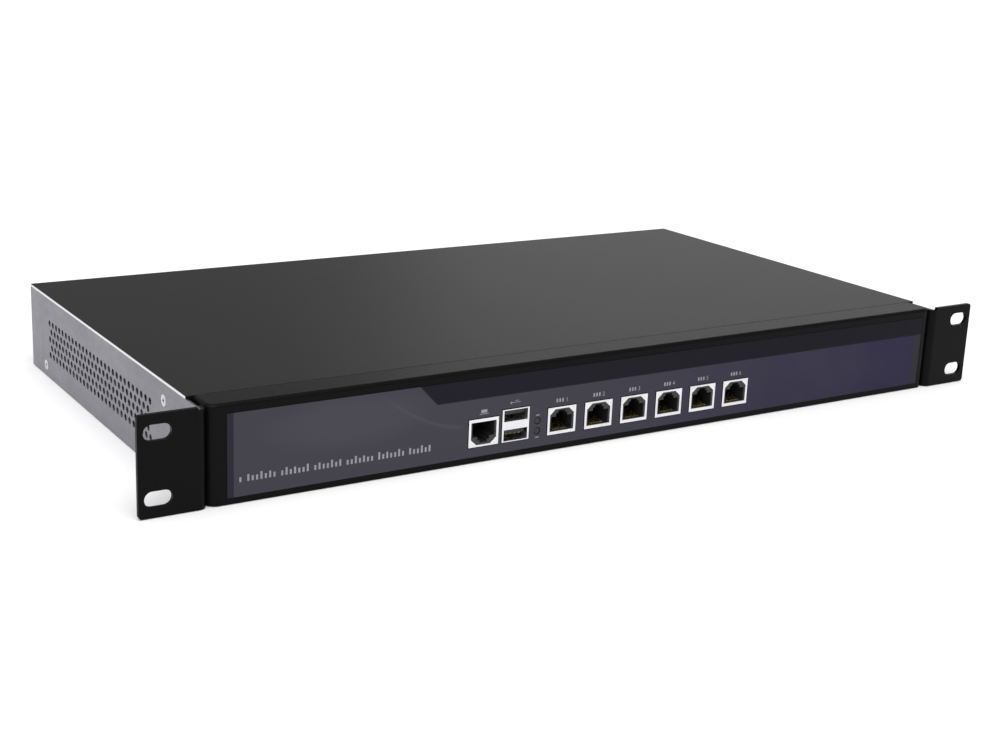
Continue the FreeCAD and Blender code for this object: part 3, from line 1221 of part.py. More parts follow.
def supply_case():
    """Tray and lid of the power supply."""
    sheet = "dim.supply_sheet"
    deep = ("dim.supply_back", SUPPLY_REAR)
    wall_high = (FLOOR, "(%s - %s)" % (SUPPLY_TOP, sheet))
    left_wall = (SUPPLY_LEFT, "(%s + %s)" % (SUPPLY_LEFT, sheet))
    right_wall = ("(%s - %s)" % (SUPPLY_RIGHT, sheet), SUPPLY_RIGHT)
    across = (SUPPLY_LEFT, SUPPLY_RIGHT)
    tray = [
        box("supply_floor", across, deep, (FLOOR, "(%s + %s)" % (FLOOR, sheet))),
        box("supply_left_wall", left_wall, deep, wall_high),
        box("supply_right_wall", right_wall, deep, wall_high),
    ]
    for row, y in enumerate(("(dim.supply_back + 8)", "(%s - 8)" % SUPPLY_REAR)):
        for side, x in enumerate(("(%s + 8)" % SUPPLY_LEFT, "(%s - 8)" % SUPPLY_RIGHT)):
            post_low = "(%s + %s - 0.6)" % (FLOOR, sheet)
            tag = "supply_post_%d_%d" % (row, side)
            tray.append(cylinder(tag, "3", "dim.supply_standoff + 0.6", x, y, post_low, "z"))
    node("supply_tray", fuse("supply_tray", tray))
    inside = ("(%s + %s + 0.1)" % (SUPPLY_LEFT, sheet), "(%s - %s - 0.1)" % (SUPPLY_RIGHT, sheet))
    end_high = ("(%s + dim.terminal_high + 2 * dim.fit_gap)" % SUPPLY_BOARD_TOP, SUPPLY_TOP)
    lid = [
        box("supply_roof", across, deep, ("(%s - %s)" % (SUPPLY_TOP, sheet), SUPPLY_TOP)),
        box("supply_front_end", inside, from_edge("dim.supply_back", "0", sheet), end_high),
        box("supply_rear_end", inside, ("(%s - %s)" % (SUPPLY_REAR, sheet), SUPPLY_REAR), end_high),
    ]
    slots = []
    slot_wide = ("(%s + 12)" % SUPPLY_LEFT, "(%s - 12)" % SUPPLY_RIGHT)
    for index in range(SUPPLY_SLOTS):
        y = "(dim.supply_back + 14 + %d * dim.supply_slot_pitch)" % index
        through = ("(%s - 2)" % SUPPLY_TOP, "(%s + 1)" % SUPPLY_TOP)
        slots.append(box("supply_slot_%d" % index, slot_wide, from_edge(y, "0", "3.2"), through))
    node("supply_lid", cut("supply_lid", fuse("supply_lid_whole", lid), slots))


def power_supply():
    """Enclosed power supply: tray, lid, board and what stands on it."""
    supply_case()
    left = SUPPLY_LEFT
    front = "dim.supply_back"
    board_low = "(%s - dim.board_thick)" % SUPPLY_BOARD_TOP
    across = ("(%s + 2.5)" % left, "(%s - 2.5)" % SUPPLY_RIGHT)
    deep = ("(%s + 3)" % front, "(%s - 3)" % SUPPLY_REAR)
    node("supply_board", box("supply_board", across, deep, (board_low, SUPPLY_BOARD_TOP)))
    core_high = from_edge(SUPPLY_BOARD_TOP, "0", "22")
    core = box("supply_transformer", from_edge(left, "30", "58"), from_edge(front, "50", "82"), core_high)
    node("supply_transformer", core)
    cans = []
    for x, y, radius, tall in SUPPLY_CANS:
        tag = "supply_can_%d" % len(cans)
        can_x, can_y = "(%s + %s)" % (left, x), "(%s + %s)" % (front, y)
        cans.append(cylinder(tag, radius, tall, can_x, can_y, SUPPLY_BOARD_TOP, "z"))
    node("supply_capacitors", group("supply_capacitors", cans))
    fins = []
    for near, far in (("12", "15"), ("68", "71")):
        fin_high = from_edge(SUPPLY_BOARD_TOP, "0", "24")
        fin = box("supply_fin_%d" % len(fins), from_edge(left, near, far), from_edge(front, "36", "88"), fin_high)
        fins.append(fin)
    node("supply_heat_sinks", group("supply_heat_sinks", fins))
    blocks = []
    wide = ("(%s + 20)" % left, "(%s - 14)" % SUPPLY_RIGHT)
    tall = from_edge(SUPPLY_BOARD_TOP, "0", "dim.terminal_high")
    for deep in (from_edge(front, "-9", "10"), from_edge(SUPPLY_REAR, "-10", "8")):
        blocks.append(box("terminal_%d" % len(blocks), wide, deep, tall))
    node("supply_terminals", group("supply_terminals", blocks))


# ---- rear: fans, inlet, switch --------------------------------------------------------------------

FAN_REAR = "(%s - dim.tray_sheet)" % REAR
FAN_FRONT = "(%s - dim.fan_thick)" % FAN_REAR


def fan(index, middle):
    """Frame with a bearing tube on struts, and a rotor that turns on a shaft in the tube."""
    tag = "fan_%d" % index
    deep = "dim.fan_thick + 2"
    ahead = "(%s - 1)" % FAN_FRONT
    wide = between(middle, "dim.fan_side")
    square = (wide, (FAN_FRONT, FAN_REAR), between("dim.fan_axis", "dim.fan_side"))
    holes = [cylinder(tag + "_opening", "dim.fan_bore", deep, middle, ahead, "dim.fan_axis")]
    screws = []
    for side in PLUS_MINUS:
        for way in PLUS_MINUS:
            x = "(%s + %s * dim.fan_hole_pitch / 2)" % (middle, side)
            z = "(dim.fan_axis + %s * dim.fan_hole_pitch / 2)" % way
            name = "%s_%d" % (tag, len(screws))
            holes.append(cylinder(name + "_hole", "2", deep, x, ahead, z))
            screws.append(screw(name + "_screw", x, REAR, z, "y", "10", "pan", "-1"))
    struts = [cut(tag + "_ring", box(tag + "_square", *square), holes)]
    strut_front = "(%s - dim.fan_strut)" % FAN_REAR
    flat = (strut_front, FAN_REAR)
    reach = "2 * dim.fan_bore + 1"
    thin = "dim.fan_strut + 0.2"
    struts.append(box(tag + "_level_strut", between(middle, reach), flat, between("dim.fan_axis", thin)))
    struts.append(box(tag + "_upright_strut", between(middle, thin), flat, between("dim.fan_axis", reach)))
    disc = (middle, strut_front, "dim.fan_axis")
    struts.append(cylinder(tag + "_disc", "dim.fan_hub - 0.4", "dim.fan_strut", *disc))
    tube_front = "(%s - dim.fan_tube)" % FAN_REAR
    tube = (middle, tube_front, "dim.fan_axis")
    struts.append(cylinder(tag + "_tube", "dim.fan_shaft + 1.6", "dim.fan_tube", *tube))
    bearing = "dim.fan_shaft + dim.fan_play"
    spot = (middle, "(%s + 1)" % FAN_FRONT, "dim.fan_axis")
    bore = cylinder(tag + "_bearing", bearing, "dim.fan_thick", *spot)
    node("fan_frame_%d" % index, cut("fan_frame_%d" % index, fuse(tag + "_whole", struts), [bore]))
    fan_rotor(index, middle)
    return screws


def fan_rotor(index, middle):
    """Cup-shaped hub with a shaft and pitched blades, about the body's own Y axis."""
    body = doc.addObject("PartDesign::Body", "fan_rotor_%d_body" % index)
    place(body, middle, back("(%s + 1)" % FAN_FRONT), "dim.fan_axis")
    cup = new_sketch(body, "XY_Plane")
    deep = "(dim.fan_thick - 4.2)"
    wall = "(dim.fan_hub - 1.4)"
    shaft = "dim.fan_shaft"
    outline(cup, (
        ("0", "0"),
        ("dim.fan_hub", "0"),
        ("dim.fan_hub", deep),
        (wall, deep),
        (wall, "1.4"),
        (shaft, "1.4"),
        (shaft, "(dim.fan_thick - 3)"),
        ("0", "(dim.fan_thick - 3)"),
    ))
    hub = body.newObject("PartDesign::Revolution", body.Name + "_hub")
    hub.Profile = cup
    hub.ReferenceAxis = (origin_feature(body, "Y_Axis"), [""])
    hub.Angle = 360
    body.Tip = hub
    blade = new_sketch(body, "YZ_Plane", "(dim.fan_hub - 0.6)")
    rear_edge = (("(%s - 0.6)" % deep, "3.4"), ("(%s - 2)" % deep, "3.6"))
    outline(blade, (("0.8", "-4.4"), ("2.2", "-4.6"), *rear_edge))
    vane = pad(body, blade, "(dim.fan_tip * 0.965 - dim.fan_hub + 0.6)")
    ring = body.newObject("PartDesign::PolarPattern", body.Name + "_blades")
    ring.Originals = [vane]
    ring.Axis = (origin_feature(body, "Y_Axis"), [""])
    ring.Angle = 360
    ring.Occurrences = BLADES
    body.Tip = ring
    node("fan_rotor_%d" % index, body)


def mains_inlet():
    """Three-pin mains inlet with a flange, its pins and its two screws."""
    wide = between(INLET_AT, "dim.inlet_wide")
    body = new_body("mains_inlet")
    flange = new_sketch(body, "XZ_Plane", "-(%s)" % REAR)
    flange_wide = between(INLET_AT, "dim.inlet_screws + 9")
    rectangle(flange, *flange_wide, *between("dim.service_high", "dim.inlet_high + 3"))
    pad(body, flange, "dim.inlet_flange", reverse=True)
    barrel = new_sketch(body, "XZ_Plane", "-(%s)" % REAR)
    rectangle(barrel, *wide, *between("dim.service_high", "dim.inlet_high"))
    pad(body, barrel, "dim.inlet_deep")
    cavity = new_sketch(body, "XZ_Plane", "-(%s + dim.inlet_flange)" % REAR)
    side = between(INLET_AT, "dim.inlet_wide - 3")
    level = between("dim.service_high", "dim.inlet_high - 3.4")
    slope = "3.6"
    outline(cavity, (
        (side[0], level[0]),
        (side[1], level[0]),
        (side[1], "(%s - %s)" % (level[1], slope)),
        ("(%s - %s)" % (side[1], slope), level[1]),
        ("(%s + %s)" % (side[0], slope), level[1]),
        (side[0], "(%s - %s)" % (level[1], slope)),
    ))
    pocket(body, cavity, "dim.inlet_deep - 3", reverse=True)
    pin_holes = new_sketch(body, "XZ_Plane", "-(%s)" % REAR)
    for across, height in INLET_PINS:
        rectangle(pin_holes, *between(across, "2.1"), *between(height, "4.1"))
    pocket(body, pin_holes, "dim.inlet_deep + 2", reverse=True)
    screw_places = ["(%s + %s * dim.inlet_screws / 2)" % (INLET_AT, way) for way in PLUS_MINUS]
    screw_holes = new_sketch(body, "XZ_Plane", "-(%s)" % REAR)
    for spot in screw_places:
        circle(screw_holes, spot, "dim.service_high", "dim.screw_head + dim.fit_gap")
    pocket(body, screw_holes, "6", midplane=True)
    node("mains_inlet", body)
    deep = ("(%s - dim.inlet_deep - 6)" % REAR, "(%s - 1)" % REAR)
    pins = []
    for across, height in INLET_PINS:
        pins.append(box("inlet_pin_%d" % len(pins), between(across, "2"), deep, between(height, "4")))
    node("inlet_pins", group("inlet_pins", pins))
    screws = []
    seat = "(%s + dim.flat_head)" % REAR
    for across in screw_places:
        tag = "inlet_screw_%d" % len(screws)
        screws.append(screw(tag, across, seat, "dim.service_high", "y", "7", "flat", "-1"))
    return screws


INLET_PINS = (
    ("(%s - 7)" % INLET_AT, "(dim.service_high - 2)"),
    ("(%s + 7)" % INLET_AT, "(dim.service_high - 2)"),
    (INLET_AT, "(dim.service_high + 2)"),
)

SWITCH_WIDE = "(dim.rocker_wide + 2)"
SWITCH_HIGH = "(2 * dim.rocker_half + 3)"
ROCKER_AXIS_BACK = "(%s - dim.rocker_axis)" % REAR


def rocker_switch():
    """Switch housing with a bezel, terminals, and the rocker that tilts in it on two pins."""
    body = new_body("switch_housing")
    shell = new_sketch(body, "XZ_Plane", "-(%s)" % REAR)
    rectangle(shell, *between(ROCKER_AT, SWITCH_WIDE), *between("dim.service_high", SWITCH_HIGH))
    pad(body, shell, "dim.switch_deep")
    bezel = new_sketch(body, "XZ_Plane", "-(%s)" % REAR)
    bezel_wide = between(ROCKER_AT, "%s + 2.4" % SWITCH_WIDE)
    rectangle(bezel, *bezel_wide, *between("dim.service_high", "%s + 2.4" % SWITCH_HIGH))
    pad(body, bezel, "dim.bezel_thick", reverse=True)
    room = new_sketch(body, "XZ_Plane", "-(%s + dim.bezel_thick)" % REAR)
    room_wide = between(ROCKER_AT, "dim.rocker_wide + 0.6")
    rectangle(room, *room_wide, *between("dim.service_high", "2 * dim.rocker_half + 1.8"))
    pocket(body, room, "dim.bezel_thick + 9", reverse=True)
    pivot = new_sketch(body, "YZ_Plane", ROCKER_AT)
    circle(pivot, ROCKER_AXIS_BACK, "dim.service_high", "dim.rocker_pin + dim.fan_play")
    pocket(body, pivot, "%s + 4" % SWITCH_WIDE, midplane=True)
    node("switch_housing", body)
    blades = []
    deep = ("(%s - dim.switch_deep - 7)" % REAR, "(%s - dim.switch_deep)" % REAR)
    for way in PLUS_MINUS:
        height = between("(dim.service_high + %s * dim.blade_spread)" % way, "0.8")
        blades.append(box("switch_blade_%d" % len(blades), between(ROCKER_AT, "4.8"), deep, height))
    node("switch_terminals", group("switch_terminals", blades))
    rocker()


def rocker():
    """Rocker in its off position, with its pins."""
    body = doc.addObject("PartDesign::Body", "rocker_body")
    tilt = FreeCAD.Rotation(ACROSS, -number("dim.rocker_tilt"))
    body.Placement = FreeCAD.Placement(FreeCAD.Vector(), tilt)
    place(body, ROCKER_AT, back(ROCKER_AXIS_BACK), "dim.service_high")
    side = new_sketch(body, "YZ_Plane")
    crown = ROCKER_TOP
    half = "dim.rocker_half"
    outline(side, (
        ("(%s - 5.4)" % crown, "-%s" % half),
        (crown, "-%s" % half),
        ("(%s - 1.1)" % crown, "0"),
        (crown, half),
        ("(%s - 5.4)" % crown, half),
        ("-2.2", "4"),
        ("-2.2", "-4"),
    ))
    pad(body, side, "dim.rocker_wide", midplane=True)
    pins = new_sketch(body, "YZ_Plane")
    circle(pins, "0", "0", "dim.rocker_pin")
    pad(body, pins, "dim.rocker_wide + 1.8", midplane=True)
    node("power_rocker", body)


# ---- internal leads -------------------------------------------------------------------------------


def lead(label, points, diameter):
    """Round lead along straight runs joined by tangent arcs; points are back-from-face coordinates."""
    shift = FreeCAD.Vector(0, number(FACE), 0)
    corners = [FreeCAD.Vector(*[number(value) for value in point]) + shift for point in points]
    edges = []
    radii = []
    start = corners[0]
    for before, corner, after in zip(corners, corners[1:], corners[2:]):
        arriving = (corner - before).normalize()
        leaving = (after - corner).normalize()
        turn = arriving.getAngle(leaving)
        shorter = min((corner - before).Length, (after - corner).Length)
        setback = 0.45 * shorter
        radius = setback / math.tan(turn / 2)
        radii.append(radius)
        arc_start = corner - arriving * setback
        arc_end = corner + leaving * setback
        inward = (leaving - arriving).normalize()
        middle = corner + inward * (radius / math.cos(turn / 2) - radius)
        edges.append(Part.LineSegment(start, arc_start).toShape())
        edges.append(Part.Arc(arc_start, middle, arc_end).toShape())
        start = arc_end
    edges.append(Part.LineSegment(start, corners[-1]).toShape())
    path = Part.Wire(edges)
    direction = (corners[1] - corners[0]).normalize()
    ring = Part.Wire([Part.Circle(corners[0], direction, diameter / 2).toShape()])
    solid = path.makePipeShell([ring], True, False)
    share = solid.Volume / (math.pi * diameter * diameter / 4 * path.Length)
    print("%s: tightest bend %.1f, volume %.4f of section times length" % (label, min(radii), share))
    feature = doc.addObject("Part::Feature", label)
    feature.Shape = solid
    return feature


def leads():
    """Every lead between the pieces inside."""
    supply_mid = "(%s + dim.supply_wide / 2)" % SUPPLY_LEFT
    terminal_z = "(%s + dim.terminal_high / 2)" % SUPPLY_BOARD_TOP
    front_block = "(dim.supply_back - 9)"
    rear_block = "(%s + 8)" % SUPPLY_REAR
    mainboard_lead = lead("mainboard_lead", (
        ("(%s - 8)" % supply_mid, front_block, terminal_z),
        ("(%s - 8)" % supply_mid, "(%s - 12)" % front_block, terminal_z),
        ("(%s - 26)" % supply_mid, "(%s - 22)" % front_block, "(%s + 3)" % terminal_z),
        ("106", "(%s - 10)" % front_block, "(%s + 6)" % terminal_z),
        ("106", "(%s + 20)" % front_block, "(%s + 7)" % terminal_z),
        ("106", "108", "(%s + 6)" % terminal_z),
        ("105", "125", "(%s + 6)" % BOARD_TOP),
        ("96", "125", "(%s + 6)" % BOARD_TOP),
    ), 5.0)
    drive_z = "(%s + dim.shelf_rise + 4.7)" % FLOOR
    drive_data_lead = lead("drive_data_lead", (
        ("-93", "114", "(%s + 4)" % BOARD_TOP),
        ("-104", "114", "(%s + 4)" % BOARD_TOP),
        ("-116", "122", "(%s + 5)" % BOARD_TOP),
        ("-122", "142", "(%s + 6)" % BOARD_TOP),
        ("-124", "168", "(%s + 5)" % BOARD_TOP),
        ("-140", "188", drive_z),
        ("-164", "186", drive_z),
        ("-166", DRIVE_REAR, drive_z),
    ), 3.0)
    drive_power_lead = lead("drive_power_lead", (
        ("-93", "137", "(%s + 4)" % BOARD_TOP),
        ("-102", "137", "(%s + 4)" % BOARD_TOP),
        ("-112", "146", "(%s + 4)" % BOARD_TOP),
        ("-116", "172", "(%s + 4)" % BOARD_TOP),
        ("-130", "196", drive_z),
        ("-160", "198", drive_z),
        ("-180", "186", drive_z),
        ("-182", DRIVE_REAR, drive_z),
    ), 3.0)
    fan_leads = []
    for index, middle in enumerate(fan_centres(), start=1):
        fan_leads.append(lead("fan_lead_%d" % index, (
            (middle, "166", "(%s + 4)" % BOARD_TOP),
            (middle, "176", "(%s + 4)" % BOARD_TOP),
            ("(%s + 8)" % middle, "192", "(%s + 1)" % BOARD_TOP),
            ("(%s + 13)" % middle, "208", "(%s - 3)" % BOARD_TOP),
            ("(%s + 13)" % middle, FAN_FRONT, "(%s - 3)" % BOARD_TOP),
        ), 2.4))
    node("fan_leads", group("fan_leads", fan_leads))
    node("mainboard_lead", mainboard_lead)
    node("drive_leads", group("drive_leads", [drive_data_lead, drive_power_lead]))
    inlet_z = "(dim.service_high - 2)"
    inlet_back = "(%s - dim.inlet_deep - 6)" % REAR
    inlet_lead = lead("inlet_lead", (
        ("(%s + 7)" % INLET_AT, inlet_back, inlet_z),
        ("(%s + 7)" % INLET_AT, "(%s - 5)" % inlet_back, inlet_z),
        ("(%s - 4)" % INLET_AT, "(%s - 9)" % inlet_back, "(%s - 5)" % inlet_z),
        ("(%s - 17)" % INLET_AT, "(%s - 8)" % inlet_back, terminal_z),
        ("(%s - 17)" % INLET_AT, rear_block, terminal_z),
    ), 2.4)
    switch_lead = lead("switch_lead", (
        (ROCKER_AT, "(%s - 21)" % REAR, "(dim.service_high - 3.5)"),
        (ROCKER_AT, "(%s - 27)" % REAR, "(dim.service_high - 3.5)"),
        ("(%s + 2)" % ROCKER_AT, "(%s + 6)" % rear_block, terminal_z),
        ("(%s + 2)" % ROCKER_AT, rear_block, terminal_z),
    ), 2.4)
    node("mains_leads", group("mains_leads", [inlet_lead, switch_lead]))


base_tray()
top_cover()
front_panel()
front_overlay()
rack_ear("left_ear", "-1")
rack_ear("right_ear", "1")
rear_panel()
fasteners(mains_inlet())
front_sockets()
node("board_screws", group("board_screws", mainboard() + processor()))
board_parts()
node("drive_screws", group("drive_screws", drive()))
power_supply()
fan_screws = []
for fan_index, fan_middle in enumerate(fan_centres(), start=1):
    fan_screws += fan(fan_index, fan_middle)
node("fan_screws", group("fan_screws", fan_screws))
rocker_switch()
leads()
doc.recompute()

for thing in doc.Objects:
    faults = [state for state in thing.State if state in ("Invalid", "Error")]
    if faults:
        raise RuntimeError("%s (%s) is %s" % (thing.Name, thing.Label, faults))
for thing in nodes:
    if thing.Shape.isNull() or not thing.Shape.isValid():
        raise RuntimeError("%s has no valid shape" % thing.Label)

os.makedirs("parts", exist_ok=True)
for thing in nodes:
    thing.Shape.exportStep("parts/%s.step" % thing.Label)
print("%d sub-parts written" % len(nodes))
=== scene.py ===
"""Looks of a rack-mounting firewall appliance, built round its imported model.

Metres, in the model's own frame: +X to the right seen from the front, +Y to the back, +Z up.
"""

import json
import math
import random

import bmesh
import bpy
from mathutils import Matrix, Vector


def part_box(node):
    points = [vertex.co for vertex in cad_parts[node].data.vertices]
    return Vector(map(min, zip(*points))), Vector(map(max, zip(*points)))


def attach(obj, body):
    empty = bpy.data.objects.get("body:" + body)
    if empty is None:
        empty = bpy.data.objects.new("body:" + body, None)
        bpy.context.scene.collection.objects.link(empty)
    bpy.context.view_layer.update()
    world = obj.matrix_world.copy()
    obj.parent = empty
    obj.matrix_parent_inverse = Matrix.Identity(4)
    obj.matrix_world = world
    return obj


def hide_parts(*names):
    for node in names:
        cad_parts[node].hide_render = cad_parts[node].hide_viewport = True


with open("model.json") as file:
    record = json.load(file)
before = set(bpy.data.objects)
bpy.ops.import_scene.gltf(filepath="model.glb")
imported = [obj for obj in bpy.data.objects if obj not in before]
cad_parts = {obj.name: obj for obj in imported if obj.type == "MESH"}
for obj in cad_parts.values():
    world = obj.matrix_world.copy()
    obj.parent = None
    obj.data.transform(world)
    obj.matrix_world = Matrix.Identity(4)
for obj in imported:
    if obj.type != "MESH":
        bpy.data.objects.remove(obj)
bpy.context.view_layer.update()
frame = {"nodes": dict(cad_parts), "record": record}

MM = 0.001
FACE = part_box("front_panel")[0].y
OVERLAY_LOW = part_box("front_overlay")[0]


# ---- camera, lights and floor ---------------------------------------------------------------------

CAMERA_AZIMUTH = math.radians(-31.85)
CAMERA_ELEVATION = math.radians(15.22)
CAMERA_ROLL = math.radians(2.13)
CAMERA_DISTANCE = 0.8332
CAMERA_AIM = Vector((-0.0182, FACE + 0.1080, 0.022))
CAMERA_LENS = 56.23
CAMERA_SHIFT = (0.0305, -0.0300)


def away(azimuth, elevation):
    """Direction from the object towards something seen at these angles; azimuth 0 is the front."""
    level = math.cos(elevation)
    return Vector((math.sin(azimuth) * level, -math.cos(azimuth) * level, math.sin(elevation)))


def make_camera():
    """Camera at the reference view."""
    data = bpy.data.cameras.new("camera")
    data.lens = CAMERA_LENS
    data.shift_x, data.shift_y = CAMERA_SHIFT
    data.clip_start = 0.01
    data.clip_end = 300
    camera = bpy.data.objects.new("camera", data)
    bpy.context.scene.collection.objects.link(camera)
    back = away(CAMERA_AZIMUTH, CAMERA_ELEVATION)
    right = Vector((math.cos(CAMERA_AZIMUTH), math.sin(CAMERA_AZIMUTH), 0))
    up = back.cross(right)
    turned_right = right * math.cos(CAMERA_ROLL) + up * math.sin(CAMERA_ROLL)
    turned_up = up * math.cos(CAMERA_ROLL) - right * math.sin(CAMERA_ROLL)
    turn = Matrix((turned_right, turned_up, back)).transposed()
    camera.matrix_world = Matrix.Translation(CAMERA_AIM + back * CAMERA_DISTANCE) @ turn.to_4x4()
    bpy.context.scene.camera = camera


def make_light(name, azimuth, elevation, distance, size, power):
    """Rectangular soft light that faces the object."""
    data = bpy.data.lights.new(name, "AREA")
    data.shape = "RECTANGLE"
    data.size, data.size_y = size
    data.energy = power
    light = bpy.data.objects.new(name, data)
    bpy.context.scene.collection.objects.link(light)
    direction = away(math.radians(azimuth), math.radians(elevation))
    light.location = direction * distance
    light.rotation_euler = direction.to_track_quat("Z", "Y").to_euler()


def make_sun(azimuth, elevation, spread, strength):
    """Broad overhead light, even over the whole floor."""
    data = bpy.data.lights.new("sun", "SUN")
    data.energy = strength
    data.angle = math.radians(spread)
    light = bpy.data.objects.new("sun", data)
    bpy.context.scene.collection.objects.link(light)
    direction = away(math.radians(azimuth), math.radians(elevation))
    light.rotation_euler = direction.to_track_quat("Z", "Y").to_euler()


def make_world(strength):
    """Even white surroundings."""
    world = bpy.data.worlds.new("studio")
    bpy.context.scene.world = world
    world.use_nodes = True
    background = world.node_tree.nodes["Background"]
    background.inputs["Color"].default_value = (1, 1, 1, 1)
    background.inputs["Strength"].default_value = strength


def make_floor():
    """Pale floor under the appliance."""
    half = 90.0
    clearance = 0.4 * MM
    corners = [(-half, -half, 0), (half, -half, 0), (half, half, 0), (-half, half, 0)]
    mesh = bpy.data.meshes.new("floor")
    mesh.from_pydata(corners, [], [(0, 1, 2, 3)])
    floor = bpy.data.objects.new("floor", mesh)
    floor.location.z = -clearance
    bpy.context.scene.collection.objects.link(floor)
    shader = Shader("floor_white", roughness=0.9)
    tone = shader.noise(3.0, detail=4)
    shader.colour(shader.blend(tone, (0.86, 0.86, 0.87), (0.9, 0.9, 0.9)))
    floor.data.materials.append(shader.material)


# ---- node materials -------------------------------------------------------------------------------


class Shader:
    """A node material under construction; patterns are placed in the model's frame, in metres."""

    def __init__(
        self, name, roughness=0.5, metallic=0.0, coat=0.0, coat_roughness=0.1, specular=0.5, soften=0.0
    ):
        self.material = bpy.data.materials.new(name)
        self.material.use_nodes = True
        self.tree = self.material.node_tree
        self.surface = self.tree.nodes["Principled BSDF"]
        self.surface.inputs["Roughness"].default_value = roughness
        self.surface.inputs["Metallic"].default_value = metallic
        self.surface.inputs["Coat Weight"].default_value = coat
        self.surface.inputs["Coat Roughness"].default_value = coat_roughness
        self.surface.inputs["Specular IOR Level"].default_value = specular
        self.place = self.add("ShaderNodeTexCoord").outputs["Object"]
        self.relief = None
        if soften:
            rounded = self.add("ShaderNodeBevel", samples=4)
            rounded.inputs["Radius"].default_value = soften
            self.relief = rounded.outputs[0]

    def add(self, kind, **settings):
        """New node with its settings."""
        node = self.tree.nodes.new(kind)
        for key, value in settings.items():
            setattr(node, key, value)
        return node

    def feed(self, socket, value):
        """Links a node's output to a socket, or sets the socket's number or colour."""
        if isinstance(value, bpy.types.NodeSocket):
            self.tree.links.new(value, socket)
        elif isinstance(value, tuple) and len(value) == 3 and socket.type == "RGBA":
            socket.default_value = (*value, 1)
        else:
            socket.default_value = value

    def math(self, operation, *values):
        """One arithmetic step."""
        node = self.add("ShaderNodeMath", operation=operation)
        for socket, value in zip(node.inputs, values):
            self.feed(socket, value)
        return node.outputs[0]

    def scaled(self, x, y, z):
        """The place, stretched along its axes."""
        node = self.add("ShaderNodeMapping")
        self.feed(node.inputs["Vector"], self.place)
        node.inputs["Scale"].default_value = (x, y, z)
        return node.outputs[0]

    def noise(self, scale, detail=2.0, vector=None):
        """Cloudy pattern from 0 to 1."""
        node = self.add("ShaderNodeTexNoise")
        self.feed(node.inputs["Vector"], vector or self.place)
        node.inputs["Scale"].default_value = scale
        node.inputs["Detail"].default_value = detail
        return node.outputs[0]

    def cells(self, scale, distance="EUCLIDEAN", output="Distance"):
        """Cell pattern."""
        node = self.add("ShaderNodeTexVoronoi", feature="F1", distance=distance)
        self.feed(node.inputs["Vector"], self.place)
        node.inputs["Scale"].default_value = scale
        return node.outputs[output]

    def spread(self, source, low, high, start=0.0, finish=1.0):
        """source from low to high becomes start to finish, with soft ends."""
        node = self.add("ShaderNodeMapRange", interpolation_type="SMOOTHSTEP")
        for socket, value in zip(node.inputs, (source, low, high, start, finish)):
            self.feed(socket, value)
        return node.outputs[0]

    def blend(self, factor, first, second):
        """Colour that goes from first to second as the factor goes from 0 to 1."""
        node = self.add("ShaderNodeMix", data_type="RGBA")
        self.feed(node.inputs["Factor"], factor)
        self.feed(node.inputs[6], first)
        self.feed(node.inputs[7], second)
        return node.outputs[2]

    def axes(self, vector=None):
        """X, Y and Z of the place or another vector."""
        node = self.add("ShaderNodeSeparateXYZ")
        self.feed(node.inputs[0], vector or self.place)
        return node.outputs

    def facing(self, axis):
        """1 on faces square to an axis (0, 1 or 2), 0 elsewhere."""
        normal = self.add("ShaderNodeNewGeometry").outputs["Normal"]
        return self.math("GREATER_THAN", self.math("ABSOLUTE", self.axes(normal)[axis]), 0.9)

    def edges(self, radius):
        """1 along sharp edges, 0 elsewhere."""
        rounded = self.add("ShaderNodeBevel", samples=4)
        rounded.inputs["Radius"].default_value = radius
        dot = self.add("ShaderNodeVectorMath", operation="DOT_PRODUCT")
        self.feed(dot.inputs[0], rounded.outputs[0])
        self.feed(dot.inputs[1], self.add("ShaderNodeNewGeometry").outputs["Normal"])
        return self.spread(dot.outputs["Value"], 0.99, 0.86)

    def colour(self, value):
        """Sets the base colour."""
        self.feed(self.surface.inputs["Base Color"], value)

    def gloss(self, value):
        """Sets a roughness that varies over the surface."""
        self.feed(self.surface.inputs["Roughness"], value)

    def bump(self, height, distance):
        """Adds relief; distance is the height of a full step."""
        node = self.add("ShaderNodeBump")
        node.inputs["Strength"].default_value = 1.0
        node.inputs["Distance"].default_value = distance
        self.feed(node.inputs["Height"], height)
        if self.relief is not None:
            self.feed(node.inputs["Normal"], self.relief)
        self.relief = node.outputs[0]
        self.feed(self.surface.inputs["Normal"], self.relief)


def shade(colour, factor):
    """A colour made lighter or darker."""
    return tuple(min(1.0, part * factor) for part in colour)


def painted(name, colour, roughness, grain, grain_depth, specular=0.5, worn=(0.12, 0.12, 0.12)):
    """Coated sheet: fine speckle and grain, a slightly uneven tone, and edges rubbed towards the metal."""
    shader = Shader(name, roughness=roughness, specular=specular, soften=0.25 * MM)
    broad = shader.noise(9, detail=3)
    tone = shader.blend(shader.spread(broad, 0.3, 0.7), shade(colour, 0.95), shade(colour, 1.05))
    fine = shader.noise(grain, detail=3)
    tone = shader.blend(shader.spread(fine, 0.45, 0.72), tone, shade(colour, 1.7))
    edges = shader.edges(0.5 * MM)
    patches = shader.spread(shader.noise(220, detail=4), 0.5, 0.75)
    rubbed = shader.math("MULTIPLY", edges, patches)
    shader.colour(shader.blend(shader.math("MULTIPLY", rubbed, 0.6), tone, worn))
    shader.gloss(shader.spread(fine, 0.2, 0.8, roughness - 0.05, roughness + 0.08))
    shader.bump(fine, grain_depth)
    return shader


